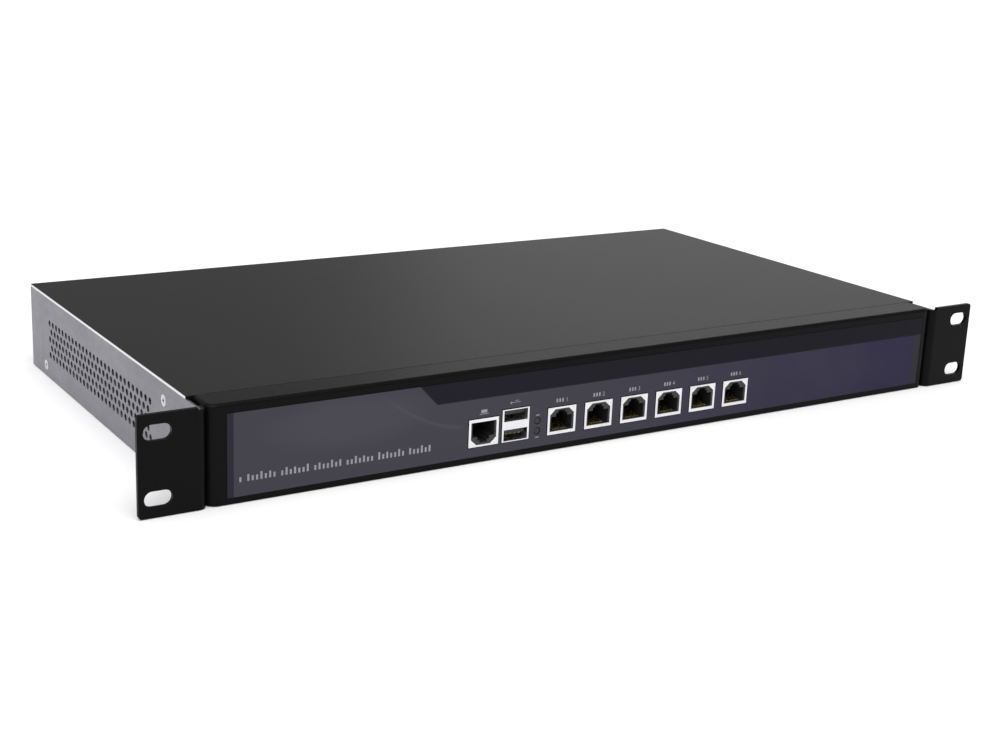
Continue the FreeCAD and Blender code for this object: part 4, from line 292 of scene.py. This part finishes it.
def plated(name, colour, roughness, streak=(1, 1, 1)):
    """Bare or plated metal: faint drawing lines, cloudy roughness and edges painted brighter as a
    highlight.
    """
    shader = Shader(name, roughness=roughness, metallic=1.0, soften=0.12 * MM)
    lines = shader.noise(900, detail=3, vector=shader.scaled(*streak))
    cloud = shader.noise(90, detail=4)
    tone = shader.blend(shader.spread(cloud, 0.25, 0.75), shade(colour, 0.93), shade(colour, 1.04))
    # Painted highlight: the colour is lightened along every sharp edge.
    painted_edge_highlight = shader.math("MULTIPLY", shader.edges(0.3 * MM), 0.5)
    shader.colour(shader.blend(painted_edge_highlight, tone, shade(colour, 1.25)))
    shader.gloss(shader.spread(lines, 0.3, 0.7, roughness - 0.07, roughness + 0.15))
    shader.bump(lines, 0.01 * MM)
    return shader.material


def moulded(name, colour, roughness):
    """Moulded plastic: fine spark-eroded grain, faint flow marks and edges painted paler as a highlight.
    """
    shader = Shader(name, roughness=roughness, soften=0.15 * MM)
    flow = shader.noise(70, detail=4)
    tone = shader.blend(flow, shade(colour, 0.8), shade(colour, 1.25))
    # Painted highlight: the colour is made paler along every sharp edge.
    paler_painted_highlight = shader.math("MULTIPLY", shader.edges(0.25 * MM), 0.35)
    shader.colour(shader.blend(paler_painted_highlight, tone, shade(colour, 2.2)))
    shader.gloss(shader.spread(flow, 0.2, 0.8, roughness - 0.06, roughness + 0.08))
    shader.bump(shader.noise(2600, detail=2), 0.012 * MM)
    return shader.material


def cover_coat():
    """Fine-textured black coat with bare cut edges along the sides."""
    shader = painted("cover_coat", (0.0064, 0.0064, 0.0066), 0.44, 2200, 0.03 * MM, specular=0.135)
    bare = shader.facing(0)
    base = shader.surface.inputs["Base Color"].links[0].from_socket
    shader.colour(shader.blend(bare, base, (0.80, 0.80, 0.82)))
    shader.feed(shader.surface.inputs["Metallic"], bare)
    return shader.material


def galvanised_sheet():
    """Zinc-coated steel: soft spangle, a violet-grey cast and rolling lines."""
    shader = Shader("galvanised_sheet", roughness=0.42, metallic=1.0)
    facet = shader.axes(shader.cells(260, output="Color"))[0]
    rolled = shader.noise(500, detail=3, vector=shader.scaled(1, 0.04, 1))
    cloud = shader.noise(25, detail=4)
    dull = (0.200, 0.198, 0.223)
    fresh = (0.228, 0.226, 0.254)
    sparkle = (0.34, 0.34, 0.38)
    cut_edge_and_highlight = (0.50, 0.50, 0.54)
    tone = shader.blend(shader.spread(cloud, 0.3, 0.7), dull, fresh)
    tone = shader.blend(shader.math("MULTIPLY", facet, 0.16), tone, sparkle)
    # Edges lightened: bare metal at cut edges, and a painted highlight along every sharp edge.
    shader.colour(shader.blend(shader.math("MULTIPLY", shader.edges(0.3 * MM), 0.5), tone, cut_edge_and_highlight))
    facet_gloss = shader.math("MULTIPLY", facet, 0.10)
    rolled_gloss = shader.math("MULTIPLY", rolled, 0.12)
    mottled = shader.math("ADD", facet_gloss, rolled_gloss)
    shader.gloss(shader.math("ADD", mottled, 0.32))
    shader.bump(facet, 0.004 * MM)
    return shader.material


def overlay_glow(shader, x, z):
    """Soft oval painted sheen, a painted highlight on the left of the overlay, 0 to 0.5."""
    across = shader.math("DIVIDE", shader.math("SUBTRACT", x, -145 * MM), 48 * MM)
    upward = shader.math("DIVIDE", shader.math("SUBTRACT", z, 29 * MM), 15 * MM)
    reach = shader.math("ADD", shader.math("POWER", across, 2.0), shader.math("POWER", upward, 2.0))
    return shader.spread(reach, 1.0, 0.0, 0.0, 0.5)


def overlay_streak(shader, x, z):
    """Thin falling streak that bows upwards away from its middle, 0 to 0.35."""
    middle = 106 * MM
    drop = 23.4 * MM
    slope = 0.44
    curl = 9.0
    line = shader.math("ADD", shader.math("MULTIPLY", x, slope), z)
    bow = shader.math("MULTIPLY", shader.math("POWER", shader.math("ADD", x, middle), 2.0), curl)
    off = shader.math("ABSOLUTE", shader.math("ADD", shader.math("SUBTRACT", line, bow), drop))
    left_end = shader.spread(x, -130 * MM, -118 * MM)
    right_end = shader.spread(x, -84 * MM, -92 * MM)
    inside = shader.math("MULTIPLY", left_end, right_end)
    return shader.math("MULTIPLY", shader.spread(off, 1.6 * MM, 0.0, 0.0, 0.35), inside)


def overlay_print():
    """Printed film: violet-grey field, dark upper band, side borders, a painted sheen on the left and a
    curved streak.
    """
    shader = Shader("overlay_print", roughness=0.3, specular=0.10)
    x, _, z = shader.axes()
    field = (0.046, 0.0445, 0.0570)
    far_field = (0.019, 0.015, 0.044)
    dark = (0.0075, 0.0070, 0.0130)
    far_dark = (0.0022, 0.0018, 0.0066)
    border = (0.019, 0.0185, 0.027)
    band_foot = 30.2 * MM
    band_full = 30.9 * MM
    slant_lean = 0.94
    across = shader.spread(x, -0.08, 0.2)
    drift = shader.spread(shader.noise(18, detail=5), 0.4, 0.75, 0.0, 0.3)
    tone = shader.blend(across, field, far_field)
    tone = shader.blend(drift, tone, shade(field, 1.1))
    # Painted highlight: a soft oval sheen lightens the field on the left.
    tone = shader.blend(overlay_glow(shader, x, z), tone, shade(field, 1.4))
    lean = shader.math("ADD", x, shader.math("MULTIPLY", z, slant_lean))
    right_of_slant = shader.spread(lean, -73.2 * MM, -72.2 * MM)
    in_band = shader.math("MULTIPLY", right_of_slant, shader.spread(z, band_foot, band_full))
    tone = shader.blend(in_band, tone, shader.blend(across, dark, far_dark))
    tone = shader.blend(overlay_streak(shader, x, z), tone, shade(field, 1.7))
    left_border = shader.spread(x, -199.2 * MM, -199.6 * MM)
    below_band = shader.spread(z, band_full, band_foot)
    right_border = shader.math("MULTIPLY", shader.spread(x, 199.6 * MM, 200.0 * MM), below_band)
    tone = shader.blend(shader.math("MAXIMUM", left_border, right_border), tone, border)
    shader.colour(tone)
    shader.gloss(shader.spread(shader.noise(120, detail=4), 0.2, 0.8, 0.28, 0.4))
    shader.bump(shader.noise(1400, detail=2), 0.004 * MM)
    return shader.material


def circuit_board():
    """Green solder mask over grouped tracks, with pads."""
    shader = Shader("circuit_board", roughness=0.32, coat=0.3, coat_roughness=0.2)
    x, y, _ = shader.axes()
    mask = (0.008, 0.060, 0.032)
    raised_mask = (0.016, 0.115, 0.058)
    pad = (0.5, 0.42, 0.2)
    block = shader.cells(70, distance="CHEBYCHEV", output="Color")
    rightward = shader.math("GREATER_THAN", shader.axes(block)[0], 0.5)
    backward = shader.math("SUBTRACT", 1.0, rightward)
    along_x = shader.math("MULTIPLY", x, rightward)
    along_y = shader.math("MULTIPLY", y, backward)
    along = shader.math("ADD", along_x, along_y)
    track = shader.spread(shader.math("PINGPONG", along, 0.55 * MM), 0.2 * MM, 0.3 * MM)
    bare = shader.math("GREATER_THAN", shader.axes(block)[1], 0.62)
    track = shader.math("MULTIPLY", track, shader.math("SUBTRACT", 1.0, bare))
    tone = shader.blend(track, mask, raised_mask)
    dots = shader.spread(shader.cells(420), 0.12, 0.08)
    tone = shader.blend(shader.math("MULTIPLY", dots, 0.7), tone, pad)
    shader.colour(tone)
    shader.gloss(shader.spread(shader.noise(200), 0.2, 0.8, 0.26, 0.42))
    shader.bump(track, 0.03 * MM)
    return shader.material


def braided(name, colour, stripe):
    """Woven sleeve over a bundle of leads, with painted shade in the gaps between strands."""
    shader = Shader(name, roughness=0.6)
    weave = shader.cells(1500, distance="MANHATTAN")
    fleck = shader.noise(90, detail=3)
    # Painted shade and highlight: strand middles lighter, gaps between strands darker.
    tone = shader.blend(shader.spread(weave, 0.1, 0.6), shade(colour, 1.5), shade(colour, 0.5))
    shader.colour(shader.blend(shader.spread(fleck, 0.62, 0.66, 0.0, 0.5), tone, stripe))
    shader.gloss(shader.spread(weave, 0.0, 1.0, 0.45, 0.75))
    shader.bump(weave, 0.08 * MM)
    return shader.material


def lens_plastic():
    """Smoked light guide, dark while it is unlit."""
    shader = Shader("lens_plastic", roughness=0.25, coat=0.2, specular=0.3)
    shader.surface.inputs["Transmission Weight"].default_value = 0.15
    cloud = shader.noise(600, detail=3)
    shader.colour(shader.blend(cloud, (0.010, 0.013, 0.011), (0.022, 0.028, 0.024)))
    shader.gloss(shader.spread(cloud, 0.2, 0.8, 0.2, 0.36))
    shader.bump(cloud, 0.01 * MM)
    return shader.material


def panel_coat():
    """Satin black coat of the panel and ears."""
    black = (0.0028, 0.0028, 0.0030)
    worn = (0.03, 0.03, 0.03)
    return painted("panel_coat", black, 0.38, 1800, 0.01 * MM, specular=0.07, worn=worn).material


def make_materials():
    """Every finish, by the record's slot name."""
    drawn = (1, 0.03, 0.03)
    lathe = (0.1, 0.1, 1)
    pressed = (1, 1, 0.08)
    return {
        "cover_black": cover_coat(),
        "galvanised": galvanised_sheet(),
        "overlay": overlay_print(),
        "circuit_board": circuit_board(),
        "panel_black": panel_coat(),
        "shield_steel": plated("shield_plate", (0.82, 0.81, 0.83), 0.26, streak=pressed),
        "black_plastic": moulded("black_moulding", (0.016, 0.016, 0.017), 0.42),
        "white_plastic": moulded("white_moulding", (0.62, 0.61, 0.57), 0.4),
        "gold": plated("gold_plate", (0.86, 0.62, 0.24), 0.24),
        "screw_steel": plated("zinc_plate", (0.62, 0.62, 0.65), 0.28),
        "black_screw": painted("black_oxide", (0.025, 0.025, 0.027), 0.35, 2400, 0.01 * MM).material,
        "sink_aluminium": plated("drawn_aluminium", (0.64, 0.64, 0.66), 0.36, streak=drawn),
        "standoff_brass": plated("turned_brass", (0.72, 0.52, 0.24), 0.3, streak=lathe),
        "cell_steel": plated("nickel_plate", (0.72, 0.71, 0.69), 0.22),
        "can_aluminium": plated("sleeved_can", (0.60, 0.60, 0.63), 0.32),
        "lens": lens_plastic(),
        "lead_black": braided("black_sleeve", (0.02, 0.02, 0.022), (0.05, 0.05, 0.055)),
        "lead_red": braided("red_sleeve", (0.30, 0.02, 0.015), (0.02, 0.02, 0.02)),
    }


def dress_cad_nodes(materials):
    """Gives each node of the model the material of its slot."""
    for entry in frame["record"]["subparts"]:
        piece = frame["nodes"][entry["node"]]
        piece.data.materials.clear()
        piece.data.materials.append(materials[entry["material_slot"]])


# ---- mesh tools -------------------------------------------------------------------------------------


def finish_piece(name, mesh_data, materials_used, body, replaced=()):
    """Object from a mesh that rides on a body; materials_used follow the faces' material numbers."""
    mesh = bpy.data.meshes.new(name)
    mesh_data.to_mesh(mesh)
    mesh_data.free()
    for material in materials_used:
        mesh.materials.append(material)
    piece = bpy.data.objects.new(name, mesh)
    bpy.context.scene.collection.objects.link(piece)
    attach(piece, body)
    if replaced:
        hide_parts(*replaced)


def add_ring(mesh_data, points):
    """New vertices."""
    return [mesh_data.verts.new(point) for point in points]


def bridge(mesh_data, first, second, material=0, smooth=False):
    """Faces between two closed rings of equal length."""
    count = len(first)
    for index in range(count):
        following = (index + 1) % count
        face = mesh_data.faces.new((first[index], first[following], second[following], second[index]))
        face.material_index = material
        face.smooth = smooth


def cap(mesh_data, ring, material=0):
    """One face over a ring."""
    face = mesh_data.faces.new(ring)
    face.material_index = material


def turned(mesh_data, profile, place, segments=32):
    """Round body about +Z from (radius, height, material) steps, closed at both ends."""
    rings = []
    for radius, height, _ in profile:
        circle = []
        for index in range(segments):
            angle = 2 * math.pi * index / segments
            circle.append(place @ Vector((radius * math.cos(angle), radius * math.sin(angle), height)))
        rings.append(add_ring(mesh_data, circle))
    for step in range(len(rings) - 1):
        bridge(mesh_data, rings[step], rings[step + 1], profile[step + 1][2], smooth=True)
    cap(mesh_data, rings[0][::-1], profile[0][2])
    cap(mesh_data, rings[-1], profile[-1][2])


def swept(mesh_data, points, across, wide, thick):
    """Flat strip along points; across is the direction of its width."""
    rings = []
    for index, point in enumerate(points):
        before = points[max(index - 1, 0)]
        after = points[min(index + 1, len(points) - 1)]
        along = (after - before).normalized()
        lift = along.cross(across).normalized() * (thick / 2)
        side = across * (wide / 2)
        corners = (
            point - side - lift,
            point + side - lift,
            point + side + lift,
            point - side + lift,
        )
        rings.append(add_ring(mesh_data, corners))
    for first, second in zip(rings, rings[1:]):
        bridge(mesh_data, first, second)
    cap(mesh_data, rings[0][::-1])
    cap(mesh_data, rings[-1])


def chamfered(mesh_data, low, high, chamfer, material=0):
    """Block whose upper edges are chamfered."""
    (x0, y0, z0), (x1, y1, z1) = low, high
    levels = ((0.0, z0), (0.0, z1 - chamfer), (chamfer, z1))
    rings = []
    for inset, height in levels:
        corners = (
            (x0 + inset, y0 + inset, height),
            (x1 - inset, y0 + inset, height),
            (x1 - inset, y1 - inset, height),
            (x0 + inset, y1 - inset, height),
        )
        rings.append(add_ring(mesh_data, corners))
    for first, second in zip(rings, rings[1:]):
        bridge(mesh_data, first, second, material)
    cap(mesh_data, rings[0][::-1], material)
    cap(mesh_data, rings[-1], material)


def at(x, back, z):
    """Point given in millimetres, its middle number back from the panel's face."""
    return Vector((x * MM, FACE + back * MM, z * MM))


# ---- front ------------------------------------------------------------------------------------------

BOARD_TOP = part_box("mainboard")[1].z / MM
JACKS = ["lan_jack_%d_shield" % number for number in range(1, 7)]
INK_FACE = OVERLAY_LOW.y - 0.02 * MM
ACROSS = Vector((1, 0, 0))


def middle_of(node):
    """Middle of a node's box."""
    low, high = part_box(node)
    return (low + high) / 2


def number_mark(text, size):
    """Mesh of a printed number, flat in XZ, centred on the origin."""
    curve = bpy.data.curves.new("number", "FONT")
    curve.body = text
    curve.size = size
    curve.align_x = "CENTER"
    curve.resolution_u = 4
    holder = bpy.data.objects.new("number", curve)
    mesh = bpy.data.meshes.new_from_object(holder)
    bpy.data.objects.remove(holder)
    return mesh


def add_number(mesh_data, text, size, x, z):
    """Prints a number on the overlay."""
    mesh = number_mark(text, size)
    mesh.transform(Matrix.Translation((x, INK_FACE, z)) @ Matrix.Rotation(math.pi / 2, 4, "X"))
    mesh_data.from_mesh(mesh)
    bpy.data.meshes.remove(mesh)


def add_bar(mesh_data, x0, x1, z0, z1):
    """Prints a bar on the overlay."""
    corners = ((x0, z0), (x1, z0), (x1, z1), (x0, z1))
    ring = [mesh_data.verts.new((x, INK_FACE, z)) for x, z in corners]
    mesh_data.faces.new(ring)


def add_dot(mesh_data, x, z, radius):
    """Prints a round dot on the overlay."""
    corners = 20
    ring = []
    for index in range(corners):
        angle = 2 * math.pi * index / corners
        spot = (x + radius * math.cos(angle), INK_FACE, z + radius * math.sin(angle))
        ring.append(mesh_data.verts.new(spot))
    mesh_data.faces.new(ring)


def port_marks(marks):
    """A number over each network jack, with three plain strokes before it."""
    stroke_pitch = 1.6 * MM
    stroke_wide = 0.9 * MM
    for number, jack in enumerate(JACKS, start=1):
        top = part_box(jack)[1].z
        middle = middle_of(jack).x
        add_number(marks, str(number), 2.9 * MM, middle + 2.6 * MM, top + 2.2 * MM)
        for stroke in range(3):
            left = middle - 3.4 * MM + stroke * stroke_pitch
            add_bar(marks, left, left + stroke_wide, top + 2.3 * MM, top + 4.1 * MM)


def console_mark(marks):
    """Plain screen-like symbol over the console jack."""
    middle = middle_of("console_jack_shield").x
    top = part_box("console_jack_shield")[1].z
    add_bar(marks, middle - 2.4 * MM, middle + 2.4 * MM, top + 2.0 * MM, top + 2.3 * MM)
    add_bar(marks, middle - 1.6 * MM, middle + 1.6 * MM, top + 2.7 * MM, top + 4.2 * MM)


def usb_mark(marks):
    """Plain line, branch and dot over the USB socket."""
    middle = middle_of("usb_shell").x
    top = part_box("usb_shell")[1].z
    add_bar(marks, middle - 2.6 * MM, middle + 2.2 * MM, top + 2.85 * MM, top + 3.1 * MM)
    add_dot(marks, middle - 2.8 * MM, top + 2.97 * MM, 0.55 * MM)
    add_bar(marks, middle - 0.6 * MM, middle + 1.2 * MM, top + 3.7 * MM, top + 3.95 * MM)


def light_marks(marks):
    """A dash under the lower status light and one over the upper."""
    middle = middle_of("light_lenses").x
    low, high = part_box("light_lenses")
    for height in (low.z - 1.9 * MM, high.z + 1.2 * MM):
        add_bar(marks, middle - 1.0 * MM, middle + 1.0 * MM, height, height + 0.5 * MM)


def stroke_row(marks):
    """Row of plain strokes at the left: one alone, then groups of seven."""
    foot = 9.2 * MM
    wide = 0.95 * MM
    pitch = 2.0 * MM
    wide_pitch = 3.6 * MM
    heights = (2.2 * MM, 3.0 * MM, 2.2 * MM, 2.2 * MM, 3.4 * MM)
    left = OVERLAY_LOW.x + 5.4 * MM
    for index in range(42):
        add_bar(marks, left, left + wide, foot, foot + heights[index % len(heights)])
        left += pitch if index % 7 else wide_pitch


def printed_marks(ink):
    """Port numbers, plain symbols and a row of plain strokes: no lettering."""
    marks = bmesh.new()
    port_marks(marks)
    console_mark(marks)
    usb_mark(marks)
    light_marks(marks)
    stroke_row(marks)
    finish_piece("printed_marks", marks, [ink], "chassis")


def contact_path(middle, side, sill):
    """Bent line of one jack contact; side is 1 where it rests on the floor and -1 under the roof."""
    steps = ((1.2, 0.25), (2.4, 0.2), (4.4, 1.0), (7.0, 1.9), (9.4, 2.5), (10.6, 2.5), (11.6, 1.9))
    return [at(middle, back, sill + side * rise) for back, rise in steps]


def jack_contacts(wires, jack, side):
    """Eight springy wires in one jack."""
    pitch = 1.02
    inset = 1.75
    low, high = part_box(jack)
    sill = BOARD_TOP + inset if side == 1 else high.z / MM - inset
    for index in range(8):
        middle = (low.x + high.x) / 2 / MM + pitch * (index - 3.5)
        swept(wires, contact_path(middle, side, sill), ACROSS, 0.42 * MM, 0.3 * MM)


def usb_contacts(wires):
    """Four flat strips under each of the two USB tongues."""
    pitch = 2.3
    dips = ((2.0, 0.0), (4.0, -0.1), (7.0, -0.12), (11.5, 0.0))
    low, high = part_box("usb_tongues")
    centre = (low.x + high.x) / 2 / MM
    for height in (3.0, 12.9):
        for index in range(4):
            middle = centre + pitch * (index - 1.5)
            strip = [at(middle, back, BOARD_TOP + height + rise) for back, rise in dips]
            swept(wires, strip, ACROSS, 1.0 * MM, 0.16 * MM)


def contact_springs(gold):
    """Springy wires in the network jacks, and the USB tongues' contact strips."""
    wires = bmesh.new()
    for jack in JACKS:
        jack_contacts(wires, jack, 1)
    jack_contacts(wires, "console_jack_shield", -1)
    usb_contacts(wires)
    finish_piece("contact_springs", wires, [gold], "chassis", ("socket_contacts",))


# ---- inside -----------------------------------------------------------------------------------------


def can_profile(radius, high):
    """Outline of a capacitor: sleeve with a crimp near the foot, and a bare scored top."""
    return (
        (radius * 0.9, 0.0, 0),
        (radius, 0.25 * MM, 0),
        (radius, 1.3 * MM, 0),
        (radius * 0.92, 1.8 * MM, 0),
        (radius, 2.3 * MM, 0),
        (radius, high - 0.5 * MM, 0),
        (radius * 0.95, high - 0.1 * MM, 0),
        (radius * 0.88, high, 1),
        (radius * 0.85, high - 0.2 * MM, 1),
        (radius * 0.3, high - 0.25 * MM, 1),
    )


def board_cans(sleeve, metal):
    """Row of capacitors on the mainboard."""
    cans = bmesh.new()
    count = 6
    low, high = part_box("board_capacitors")
    radius = (high.x - low.x) / 2
    for index in range(count):
        y = low.y + radius + index * (high.y - low.y - 2 * radius) / (count - 1)
        place = Matrix.Translation((low.x + radius, y, low.z))
        turned(cans, can_profile(radius, high.z - low.z), place)
    finish_piece("board_cans", cans, [sleeve, metal], "chassis", ("board_capacitors",))


def supply_cans(sleeve, metal):
    """Two large and three small capacitors in the power supply, measured from its tray's corner."""
    cans = bmesh.new()
    large = [(x, 104, 10, 25) for x in (18, 44)]
    small = [(x, 22, 5, 20) for x in (14, 28, 42)]
    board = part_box("supply_board")[1].z
    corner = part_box("supply_tray")[0]
    for x, y, radius, tall in large + small:
        place = Matrix.Translation((corner.x + x * MM, corner.y + y * MM, board))
        turned(cans, can_profile(radius * MM, tall * MM), place)
    finish_piece("supply_cans", cans, [sleeve, metal], "chassis", ("supply_capacitors",))


def patch(mesh_data, first, second, smooth=False):
    """Faces between two open rows of equal length."""
    for index in range(len(first) - 1):
        face = mesh_data.faces.new((first[index], first[index + 1], second[index + 1], second[index]))
        face.smooth = smooth


def blade_row(mesh_data, centre, radius, depths, angles):
    """Front and rear vertices of a blade at one radius; depths are the rotor's front and rear."""
    front, rear = depths
    start, sweep = angles
    across_steps = 8
    front_row = []
    rear_row = []
    for column in range(across_steps + 1):
        chord = column / across_steps
        angle = start + sweep * chord
        depth = front + (rear - front) * (0.12 + 0.76 * chord + 0.07 * math.sin(math.pi * chord))
        thick = 0.5 * MM * math.sin(math.pi * min(max(chord, 0.06), 0.94)) + 0.15 * MM
        x = centre.x + radius * math.cos(angle)
        z = centre.z + radius * math.sin(angle)
        front_row.append(mesh_data.verts.new((x, depth - thick, z)))
        rear_row.append(mesh_data.verts.new((x, depth + thick, z)))
    return front_row, rear_row


def blade(mesh_data, centre, hub, tip, depths, start):
    """One swept, cambered fan blade."""
    along_steps = 6
    front_rows = []
    rear_rows = []
    for row in range(along_steps + 1):
        out = row / along_steps
        radius = hub + (tip - hub) * out
        angles = (start + 0.28 * out, 0.62 - 0.08 * out)
        front_row, rear_row = blade_row(mesh_data, centre, radius, depths, angles)
        front_rows.append(front_row)
        rear_rows.append(rear_row)
    for rows in (front_rows, rear_rows):
        for first, second in zip(rows, rows[1:]):
            patch(mesh_data, first, second, smooth=True)
    for end in (0, -1):
        patch(mesh_data, front_rows[end], rear_rows[end])
        patch(mesh_data, [row[end] for row in front_rows], [row[end] for row in rear_rows])


def fan_rotors(plastic):
    """Rotors with swept blades on a round-edged hub."""
    hub = 11.0 * MM
    deep = 10.0 * MM
    root = 0.4 * MM
    tip_gap = 0.3 * MM
    face_gap = 0.6 * MM
    blades = 7
    profile = (
        (hub * 0.86, 0.0, 0),
        (hub * 0.95, 0.25 * MM, 0),
        (hub, 1.2 * MM, 0),
        (hub, deep, 0),
        (hub * 0.9, deep, 0),
    )
    for number in (1, 2):
        node = "fan_rotor_%d" % number
        low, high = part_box(node)
        centre = Vector(((low.x + high.x) / 2, 0, (low.z + high.z) / 2))
        tip = (high.x - low.x) / 2 - tip_gap
        depths = (low.y + face_gap, high.y - face_gap)
        rotor = bmesh.new()
        for index in range(blades):
            blade(rotor, centre, hub - root, tip, depths, 2 * math.pi * index / blades)
        facing = Matrix.Translation((centre.x, low.y, centre.z)) @ Matrix.Rotation(-math.pi / 2, 4, "X")
        turned(rotor, profile, facing, 48)
        bmesh.ops.recalc_face_normals(rotor, faces=rotor.faces)
        finish_piece("swept_rotor_%d" % number, rotor, [plastic], node, (node,))


def legs_round(mesh_data, middle_x, middle_back, half, count):
    """Bent metal legs on the four sides of a chip."""
    pitch = 2 * half * 0.86 / (count - 1)
    steps = ((-0.1, 0.55), (0.35, 0.55), (0.55, 0.1), (1.0, 0.08))
    foot = at(middle_x, middle_back, BOARD_TOP)
    for side in range(4):
        angle = side * math.pi / 2
        out = Vector((math.cos(angle), math.sin(angle), 0))
        along = Vector((-out.y, out.x, 0))
        for index in range(count):
            root = foot + out * (half * MM) + along * ((index - (count - 1) / 2) * pitch * MM)
            points = [root + out * (reach * MM) + Vector((0, 0, rise * MM)) for reach, rise in steps]
            swept(mesh_data, points, along, 0.26 * MM, 0.12 * MM)


def small_part(mesh_data, x, back, size, turned_round):
    """Chip resistor or capacitor: ceramic body with two plated ends."""
    long, wide, high = size
    if turned_round:
        long, wide = wide, long
    proud = 0.03
    end_at = 0.38
    end_half = 0.14
    low = at(x - long / 2, back - wide / 2, BOARD_TOP)
    top = at(x + long / 2, back + wide / 2, BOARD_TOP + high)
    chamfered(mesh_data, low, top, 0.06 * MM, 0)
    for way in (-1, 1):
        if turned_round:
            half_x, half_back = long / 2 + proud, wide * end_half
            end_x, end_back = x, back + way * wide * end_at
        else:
            half_x, half_back = long * end_half, wide / 2 + proud
            end_x, end_back = x + way * long * end_at, back
        low = at(end_x - half_x, end_back - half_back, BOARD_TOP)
        top = at(end_x + half_x, end_back + half_back, BOARD_TOP + high + proud)
        chamfered(mesh_data, low, top, 0.05 * MM, 1)


def chip_legs(metal):
    """Legs of the network chips, one chip behind each jack."""
    behind_face = 36.5
    half_chip = 4.5
    legs_a_side = 14
    legs = bmesh.new()
    for jack in JACKS:
        legs_round(legs, middle_of(jack).x / MM, behind_face, half_chip, legs_a_side)
    finish_piece("chip_legs", legs, [metal], "chassis")


def small_parts(dark, metal):
    """Rows of small parts between the large ones; each field is left, right, front and rear in mm."""
    chance = random.Random(7)
    parts = bmesh.new()
    pitch_across = 3.4
    pitch_back = 3.2
    left_bare = 0.45
    share_turned = 0.4
    sizes = ((1.6, 0.8, 0.45), (1.6, 0.8, 0.8), (2.0, 1.2, 0.9), (1.0, 0.5, 0.4))
    fields = (
        (-42, 84, 25.5, 30.0),
        (-42, 84, 43.0, 58.0),
        (-84, -34, 26.0, 70.0),
        (-48, -32, 74.0, 132.0),
        (46, 50, 62.0, 132.0),
        (-8, 48, 138.0, 156.0),
        (64, 90, 138.0, 160.0),
        (80, 90, 62.0, 108.0),
    )
    for left, right, front, rear in fields:
        columns = int((right - left) / pitch_across) + 1
        rows = int((rear - front) / pitch_back) + 1
        for column in range(columns):
            for row in range(rows):
                if chance.random() < left_bare:
                    continue
                size = chance.choice(sizes)
                x = left + pitch_across * column
                back = front + pitch_back * row
                small_part(parts, x, back, size, chance.random() < share_turned)
    finish_piece("small_parts", parts, [dark, metal], "chassis")


def lead_curve(name, points, diameter, material, node):
    """Sleeved lead along a smooth curve through the route's points."""
    curve = bpy.data.curves.new(name, "CURVE")
    curve.dimensions = "3D"
    curve.resolution_u = 10
    curve.bevel_depth = diameter / 2 * MM
    curve.bevel_resolution = 4
    curve.use_fill_caps = True
    spline = curve.splines.new("NURBS")
    spline.points.add(len(points) - 1)
    for knot, point in zip(spline.points, points):
        knot.co = (*at(*point), 1)
    spline.order_u = 3
    spline.use_endpoint_u = True
    curve.materials.append(material)
    piece = bpy.data.objects.new(name, curve)
    bpy.context.scene.collection.objects.link(piece)
    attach(piece, "chassis")
    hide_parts(node)


def mainboard_sleeve(black):
    """Feed from the power supply to the mainboard."""
    route = (
        (150, 53, 12.05), (150, 41, 12.05), (132, 31, 15.05), (106, 43, 18.05),
        (106, 73, 19.05), (106, 108, 18.05), (105, 125, 13.6), (96, 125, 13.6),
    )
    lead_curve("mainboard_harness", route, 5.0, black, "mainboard_lead")


def drive_sleeves(black, red):
    """Data and power leads from the mainboard to the drive."""
    data = (
        (-93, 114, 11.6), (-104, 114, 11.6), (-116, 122, 12.6), (-122, 142, 13.6),
        (-124, 168, 12.6), (-140, 188, 12.7), (-164, 186, 12.7), (-166, 164, 12.7),
    )
    power = (
        (-93, 137, 11.6), (-102, 137, 11.6), (-112, 146, 11.6), (-116, 172, 11.6),
        (-130, 196, 12.7), (-160, 198, 12.7), (-180, 186, 12.7), (-182, 164, 12.7),
    )
    lead_curve("drive_data_sleeve", data, 3.0, red, "drive_leads")
    lead_curve("drive_power_sleeve", power, 3.0, black, "drive_leads")


def fan_sleeves(black):
    """Lead from the mainboard to each fan."""
    for number in (1, 2):
        middle = middle_of("fan_rotor_%d" % number).x / MM
        route = (
            (middle, 166, 11.6), (middle, 176, 11.6), (middle + 8, 192, 8.6),
            (middle + 13, 208, 4.6), (middle + 13, 222.8, 4.6),
        )
        lead_curve("fan_sleeve_%d" % number, route, 2.4, black, "fan_leads")


def mains_sleeves(black):
    """Short leads from the mains inlet and its switch to the power supply."""
    inlet = ((189, 212.8, 20), (189, 207.8, 20), (178, 203.8, 15), (165, 204.8, 12.05), (165, 198, 12.05))
    switch = ((140, 217.8, 18.5), (140, 211.8, 18.5), (142, 204, 12.05), (142, 198, 12.05))
    lead_curve("inlet_sleeve", inlet, 2.4, black, "mains_leads")
    lead_curve("switch_sleeve", switch, 2.4, black, "mains_leads")


# ---- the scene ------------------------------------------------------------------------------------

bpy.context.scene.view_settings.view_transform = "Standard"
make_camera()
make_world(0.42)
make_sun(azimuth=-35, elevation=62, spread=70, strength=3.1)
make_light("rear", azimuth=136, elevation=19, distance=2.6, size=(1.4, 0.9), power=4)
make_floor()
materials = make_materials()
dress_cad_nodes(materials)
ink = moulded("printed_ink", (0.25, 0.245, 0.27), 0.5)
sleeve = moulded("can_sleeve", (0.015, 0.02, 0.035), 0.3)
printed_marks(ink)
contact_springs(materials["gold"])
board_cans(sleeve, materials["can_aluminium"])
supply_cans(sleeve, materials["can_aluminium"])
fan_rotors(materials["black_plastic"])
chip_legs(materials["shield_steel"])
small_parts(materials["black_plastic"], materials["shield_steel"])
mainboard_sleeve(materials["lead_black"])
drive_sleeves(materials["lead_black"], materials["lead_red"])
fan_sleeves(materials["lead_black"])
mains_sleeves(materials["lead_black"])
